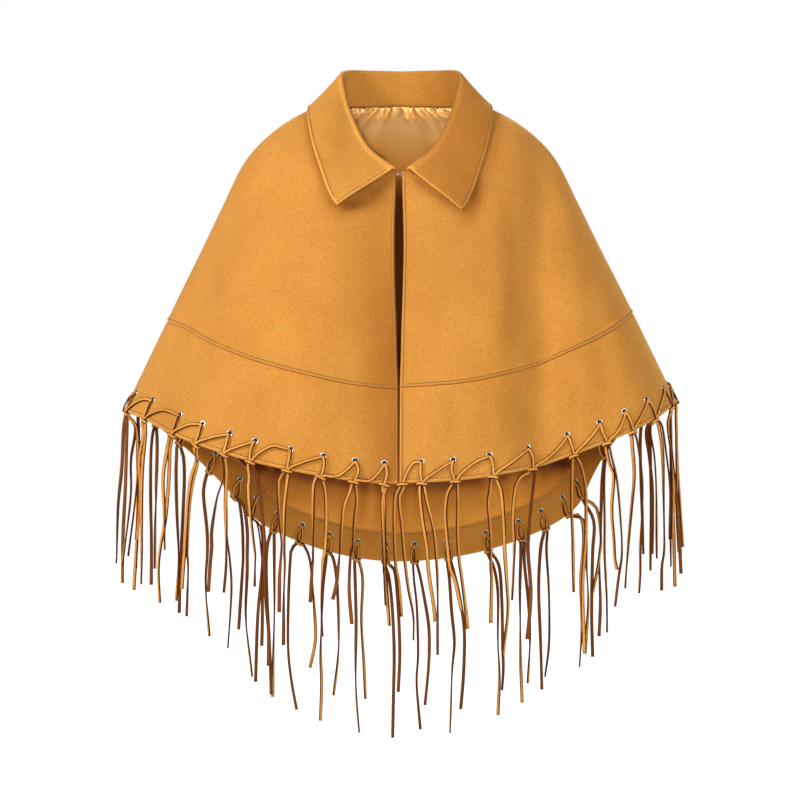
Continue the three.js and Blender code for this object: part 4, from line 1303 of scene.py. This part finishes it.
def short_cord(joined, angle, bulge, seed):
    """The cord from an eyelet down over the hem's edge into its knot."""
    around, _, out = directions(angle, EYELET_ROW)
    controls = [
        hem_point(angle, EYELET_RISE - 0.9, -1.2),
        hem_point(angle, EYELET_RISE - 2.6, 1.7) + around * bulge * 0.2,
        hem_point(angle, EYELET_RISE - 6, 2.6) + around * bulge * 0.7,
        hem_point(angle, 11, 2.3) + around * bulge,
        hem_point(angle, 1.5, 2.4) + around * bulge * 0.35,
        hem_point(angle, 0, 1.6, 4.5),
    ]
    points = curve_through(controls, SHORT_PIECES)
    twist = np.linspace(-0.5, 0.35, SHORT_PIECES) * (0.4 + noise(seed))
    facing = out[None] * np.cos(twist)[:, None] + around[None] * np.sin(twist)[:, None]
    add_strip(joined, points, facing, CORD["width"], CORD["thickness"])


def long_cord(joined, start, end, bend, seed):
    """The cord from a knot rising to the next eyelet."""
    share = np.array([0, 0.12, 0.32, 0.55, 0.78, 0.93, 1])
    angles = start + (end - start) * share
    rises = (EYELET_RISE - 1.5) * np.clip(share + bend * 0.5 * np.sin(math.pi * share), 0.02, 1.04)
    offs = [1.4, 2.5, 2.2, 2.3, 2.5, 1.8, -0.8]
    controls = [hem_point(a, r, o) for a, r, o in zip(angles, rises, offs)]
    controls[0] = hem_point(angles[0], 0, 1.4, 3.2)
    points = curve_through(controls, LONG_PIECES)
    _, down, facing = directions(np.linspace(start, end, LONG_PIECES), LACE_ROW)
    twist = (noise(seed) - 0.5) * 0.8 * np.sin(np.linspace(0, math.pi, LONG_PIECES))
    facing = facing * np.cos(twist)[:, None] - down * np.sin(twist)[:, None]
    add_strip(joined, points, facing, CORD["width"], CORD["thickness"])


def inside_cord(joined, angle, seed):
    """The narrow loop inside the back hem, from the eyelet down round the edge."""
    stack = -(SUEDE + LAYER_GAP + FACING)
    around, _, out = directions(angle, EYELET_ROW)
    lean = 2.5 + 3.5 * noise(seed)
    shift = 3 * (noise(seed + 4) - 0.5)
    for way in (-1, 1):
        controls = [
            hem_point(angle, EYELET_RISE + 0.4, stack + 0.8),
            hem_point(angle, EYELET_RISE - 1.6, stack - 1.6) + around * way * 0.4,
            hem_point(angle, EYELET_RISE * 0.45, stack - 2.2) + around * (way * lean + shift),
            hem_point(angle, 2, stack - 1.8) + around * (way * lean * 0.7 + shift),
            hem_point(angle, 0, -1.0, 4.5) + around * way * 0.6,
        ]
        points = curve_through(controls, INSIDE_PIECES)
        twist = way * np.linspace(0.2, 0.9, INSIDE_PIECES)
        facing = -out[None] * np.cos(twist)[:, None] + around[None] * np.sin(twist)[:, None]
        add_strip(joined, points, facing, CORD["width"] * 0.85, CORD["thickness"])


def add_knot(joined, angle, middle_off, seed):
    """The flat wrap of cord that holds two strands under the hem's edge."""
    around, down, out = directions(angle, KNOT_ROW)
    centre = hem_point(angle, 0, middle_off, KNOT["drop"])
    tilt = (noise(seed) - 0.5) * 0.5
    turn = np.linspace(0, 2 * math.pi, 29)
    flat = np.cos(turn)[:, None] * around * KNOT["half"] + np.sin(turn)[:, None] * out * KNOT["deep"]
    rise = np.cos(turn) * KNOT["half"] * math.tan(tilt) + 0.7 * np.sin(turn * 2)
    points = centre + flat + down * rise[:, None]
    facing = np.cos(turn)[:, None] * around * KNOT["deep"] + np.sin(turn)[:, None] * out * KNOT["half"]
    add_strip(joined, points, facing, KNOT["height"], CORD["thickness"])


def strand_bends(way, length, seed):
    """Places to the side of a knot and below it that a strand passes, springing out and then hanging."""
    arch = way * (2 + 8 * noise(seed + 11))
    drift = way * 8 * (noise(seed + 17) - 0.3)
    share = np.array([0.07, 0.2, 0.45, 0.72, 1.0])
    spring = arch * np.array([0.8, 1.0, 0.75, 0.5, 0.3])
    wander = 5 * np.array([noise(seed + 3 * k) - 0.5 for k in range(5)]) * share
    return list(zip(spring + drift * share + wander, share * length))


# The share of strands that show their face at the knot; the others start on edge or turned round
FACING_STRANDS = 0.84


def add_strand(joined, angle, way, bends, sideways, middle_off, seed):
    """A strand from a knot through its bends, turning about its own line as it hangs."""
    around, down, out = directions(angle, KNOT_ROW)
    away = unit(out * (1, 1, 0))
    beside = around * way * STRAND["beside"]
    root = hem_point(angle, 0, middle_off, KNOT["drop"] - 0.5) + beside
    knot = root - beside
    count = STRAND["pieces"]
    reach = bends[-1][1]
    controls = [root, root + down * 2.5 + around * way * 0.5]
    for side, drop in bends:
        share = drop / reach
        depth = (3 + 5 * noise(seed + 19)) * share + 2 * math.sin(share * 5 + 6 * noise(seed + 23)) * share
        point = knot + sideways * side + away * depth
        point[2] = knot[2] - drop
        controls.append(point)
    points = curve_through(controls, count)
    t = np.linspace(0, 1, count)
    begin = (noise(seed + 31) - 0.5) * 1.9 - way * 0.2
    if noise(seed + 29) > FACING_STRANDS:
        begin += 1.6 + noise(seed + 33)
    full = (noise(seed + 37) - 0.5) * 2
    turned = full * (0.5 + 1.3 * abs(full)) * smooth(0.05, 1, t) * 1.5
    wobble = 0.25 * np.sin(t * 9 + 6 * noise(seed + 41))
    twist = begin + turned + wobble * t
    level = np.cross(away, (0, 0, 1.0))
    facing = np.cos(twist)[:, None] * away + np.sin(twist)[:, None] * level
    add_strip(joined, points, facing, STRAND["width"], STRAND["thickness"])


def fringe(solid, angles, knots, before, shortest, spread, lined=False):
    """One hem's lacing, knots and strands."""
    joined = Joined()
    stack = SUEDE + LAYER_GAP + FACING if lined else SUEDE
    middle_off = -stack / 2 + 0.4
    for i, angle in enumerate(angles):
        seed = angle * 1.7
        bend, bulge = LACING.get(angle, (1.2 * (noise(seed + 2) - 0.4), 2 + 2 * noise(seed)))
        short_cord(joined, angle, bulge, seed)
        last = before if i == 0 else angles[i - 1]
        long_cord(joined, last, angle, bend, seed)
        if lined:
            inside_cord(joined, angle, seed)
    for angle in knots:
        seed = angle * 1.3 + 0.7
        add_knot(joined, angle, middle_off, seed)
        around = unit(directions(angle, KNOT_ROW)[0] * (1, 1, 0))
        for k, way in enumerate((-1, 1)):
            own = seed + 50 * (way + 2)
            measured = STRANDS.get(angle, ([], []))[k]
            # Behind, the viewer's left is the cloth's right
            root_way = -way if lined else way
            if measured:
                add_strand(joined, angle, root_way, measured, np.array([1.0, 0, 0]), middle_off, own)
            else:
                bends = strand_bends(way, shortest + spread * noise(own), own)
                add_strand(joined, angle, way, bends, around, middle_off, own)
    joined.put(f"{solid}_strips", [STRIP_LOOK, EDGE_LOOK, STRIP_BACK_LOOK], slot="cord", replaces=[solid])


# Where each hem's lacing starts, and how long its strands are where they weren't listed
fringe("fringe_front_right", RIGHT_ANGLES, [START_KNOT] + RIGHT_ANGLES, START_KNOT, 165, 60)
fringe("fringe_back", BACK_ANGLES, BACK_ANGLES, 90.6, 186, 58, lined=True)
fringe("fringe_front_left", LEFT_ANGLES, LEFT_ANGLES, 270.6, 165, 60)

# The hook and the eye: bent wire behind the top of the opening
HOOK_ROW = 0.06
WIRE = {"radius": 0.45, "sides": 10, "pieces": 40, "behind": 0.7}
gape_middle = (cloth(0.0, HOOK_ROW) + cloth(360.0, HOOK_ROW)) / 2
gape_out = unit(directions(0.0, HOOK_ROW)[2] * (0, 1, 1))
sideways = np.array([1.0, 0, 0])


gape_lift = np.cross(sideways, gape_out)


def gape_point(x, back, up=0.0):
    return gape_middle + sideways * x - gape_out * (SUEDE + WIRE["behind"] + back) + gape_lift * up


def wire_piece(solid, lines):
    joined = Joined()
    turn = np.linspace(0, 2 * math.pi, WIRE["sides"], endpoint=False)
    section = WIRE["radius"] * np.stack([np.cos(turn), np.sin(turn)], axis=1)
    faces = closed_tube_faces(WIRE["pieces"], WIRE["sides"])
    for line in lines:
        rings = swept(curve_through(line, WIRE["pieces"]), gape_lift + 0.01, section)
        joined.add(rings, faces, [0] * len(faces))
    joined.put(f"{solid}_wire", [NICKEL_LOOK], slot="metal", replaces=[solid])


hook_line = [(-10, 0), (-3, 1.3), (0.2, 1.3), (1.5, 0), (0.2, -1.3), (-2.6, -1.3)]
wire_piece("hook", [[gape_point(x, back) for x, back in hook_line]])
EYE = {"x": 1.5, "radius": 2.2}
eye_ring = []
for turn in np.linspace(0, 2 * math.pi, 13):
    eye_ring.append(gape_point(EYE["x"] + EYE["radius"] * math.cos(turn), 0, EYE["radius"] * math.sin(turn)))
eye_leg = [gape_point(x, 0) for x in (EYE["x"] + EYE["radius"], 6, 10)]
wire_piece("eye", [eye_ring, eye_leg])

# Floor, camera and light, in metres. The camera sees the floor as plain white.
FLOOR = {"half": 8, "front": -6, "back": 10, "z": -1.25}
corners = [(-1, "front"), (1, "front"), (1, "back"), (-1, "back")]
floor_mesh = bpy.data.meshes.new("floor")
floor_mesh.from_pydata([(FLOOR["half"] * x, FLOOR[y], FLOOR["z"]) for x, y in corners], [], [(0, 1, 2, 3)])
FLOOR_LOOK = plain_material("floor_white", grey(0.6), grey(0.64), 3, 0.9)
seen = FLOOR_LOOK.node_tree.nodes.new("ShaderNodeLightPath")
floor_shader = FLOOR_LOOK.node_tree.nodes["Principled BSDF"]
floor_shader.inputs["Emission Color"].default_value = grey(1)
FLOOR_LOOK.node_tree.links.new(seen.outputs["Is Camera Ray"], floor_shader.inputs["Emission Strength"])
floor_mesh.materials.append(FLOOR_LOOK)
floor = bpy.data.objects.new("floor", floor_mesh)
bpy.context.scene.collection.objects.link(floor)
floor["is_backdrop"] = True

camera_data = bpy.data.cameras.new("camera")
camera_data.sensor_width = 36
camera_data.lens = 103.85
camera = bpy.data.objects.new("camera", camera_data)
camera.location = (0, -AWAY / 1000, MIDDLE / 1000)
camera.rotation_euler = (math.pi / 2, 0, 0)
bpy.context.scene.collection.objects.link(camera)
bpy.context.scene.camera = camera

# Each light's name, place, size, power and colour, and what they all point at
AIM = (0, 0, -0.3)
LIGHTS = [
    ("key", (-2.4, -1.5, 1.4), 0.8, 73, (1.0, 0.98, 0.95)),
    ("side", (2.2, -1.6, 1.3), 0.9, 24, (1.0, 0.98, 0.94)),
    ("front", (0, -3.2, -0.1), 1.2, 19, (1.0, 0.99, 0.95)),
    ("low", (0, -2.4, -1.1), 1.0, 16, (1.0, 0.97, 0.92)),
    ("back", (0.6, 2.4, 1.2), 1.8, 30, (1.0, 1.0, 1.0)),
]
for name, place, size, power, colour in LIGHTS:
    light = bpy.data.lights.new(name, "AREA")
    light.size = size
    light.energy = power
    light.color = colour
    lamp = bpy.data.objects.new(name, light)
    lamp.location = place
    aim = np.array(AIM) - np.array(place)
    flat = math.hypot(aim[0], aim[1])
    lamp.rotation_euler = (math.atan2(flat, -aim[2]), 0, math.atan2(aim[1], aim[0]) - math.pi / 2)
    bpy.context.scene.collection.objects.link(lamp)

world = bpy.data.worlds.new("studio")
world.use_nodes = True
# The cape is lit by a dim white all round, and the camera sees plain white behind it
nodes, links = world.node_tree.nodes, world.node_tree.links
sky = nodes["Background"]
sky.inputs["Color"].default_value = grey(1)
sky.inputs["Strength"].default_value = 0.27
shown = add_node(world.node_tree, "ShaderNodeBackground", {"Color": grey(1), "Strength": 1.0})
ray = nodes.new("ShaderNodeLightPath")
chosen = nodes.new("ShaderNodeMixShader")
links.new(ray.outputs["Is Camera Ray"], chosen.inputs["Fac"])
links.new(sky.outputs["Background"], chosen.inputs[1])
links.new(shown.outputs["Background"], chosen.inputs[2])
links.new(chosen.outputs["Shader"], nodes["World Output"].inputs["Surface"])
bpy.context.scene.world = world
bpy.context.scene.view_settings.view_transform = "Standard"

boxes = {"cad": cad_box, "visual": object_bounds()}
{k: [[float(v) for v in corner] for corner in b] for k, b in boxes.items()}
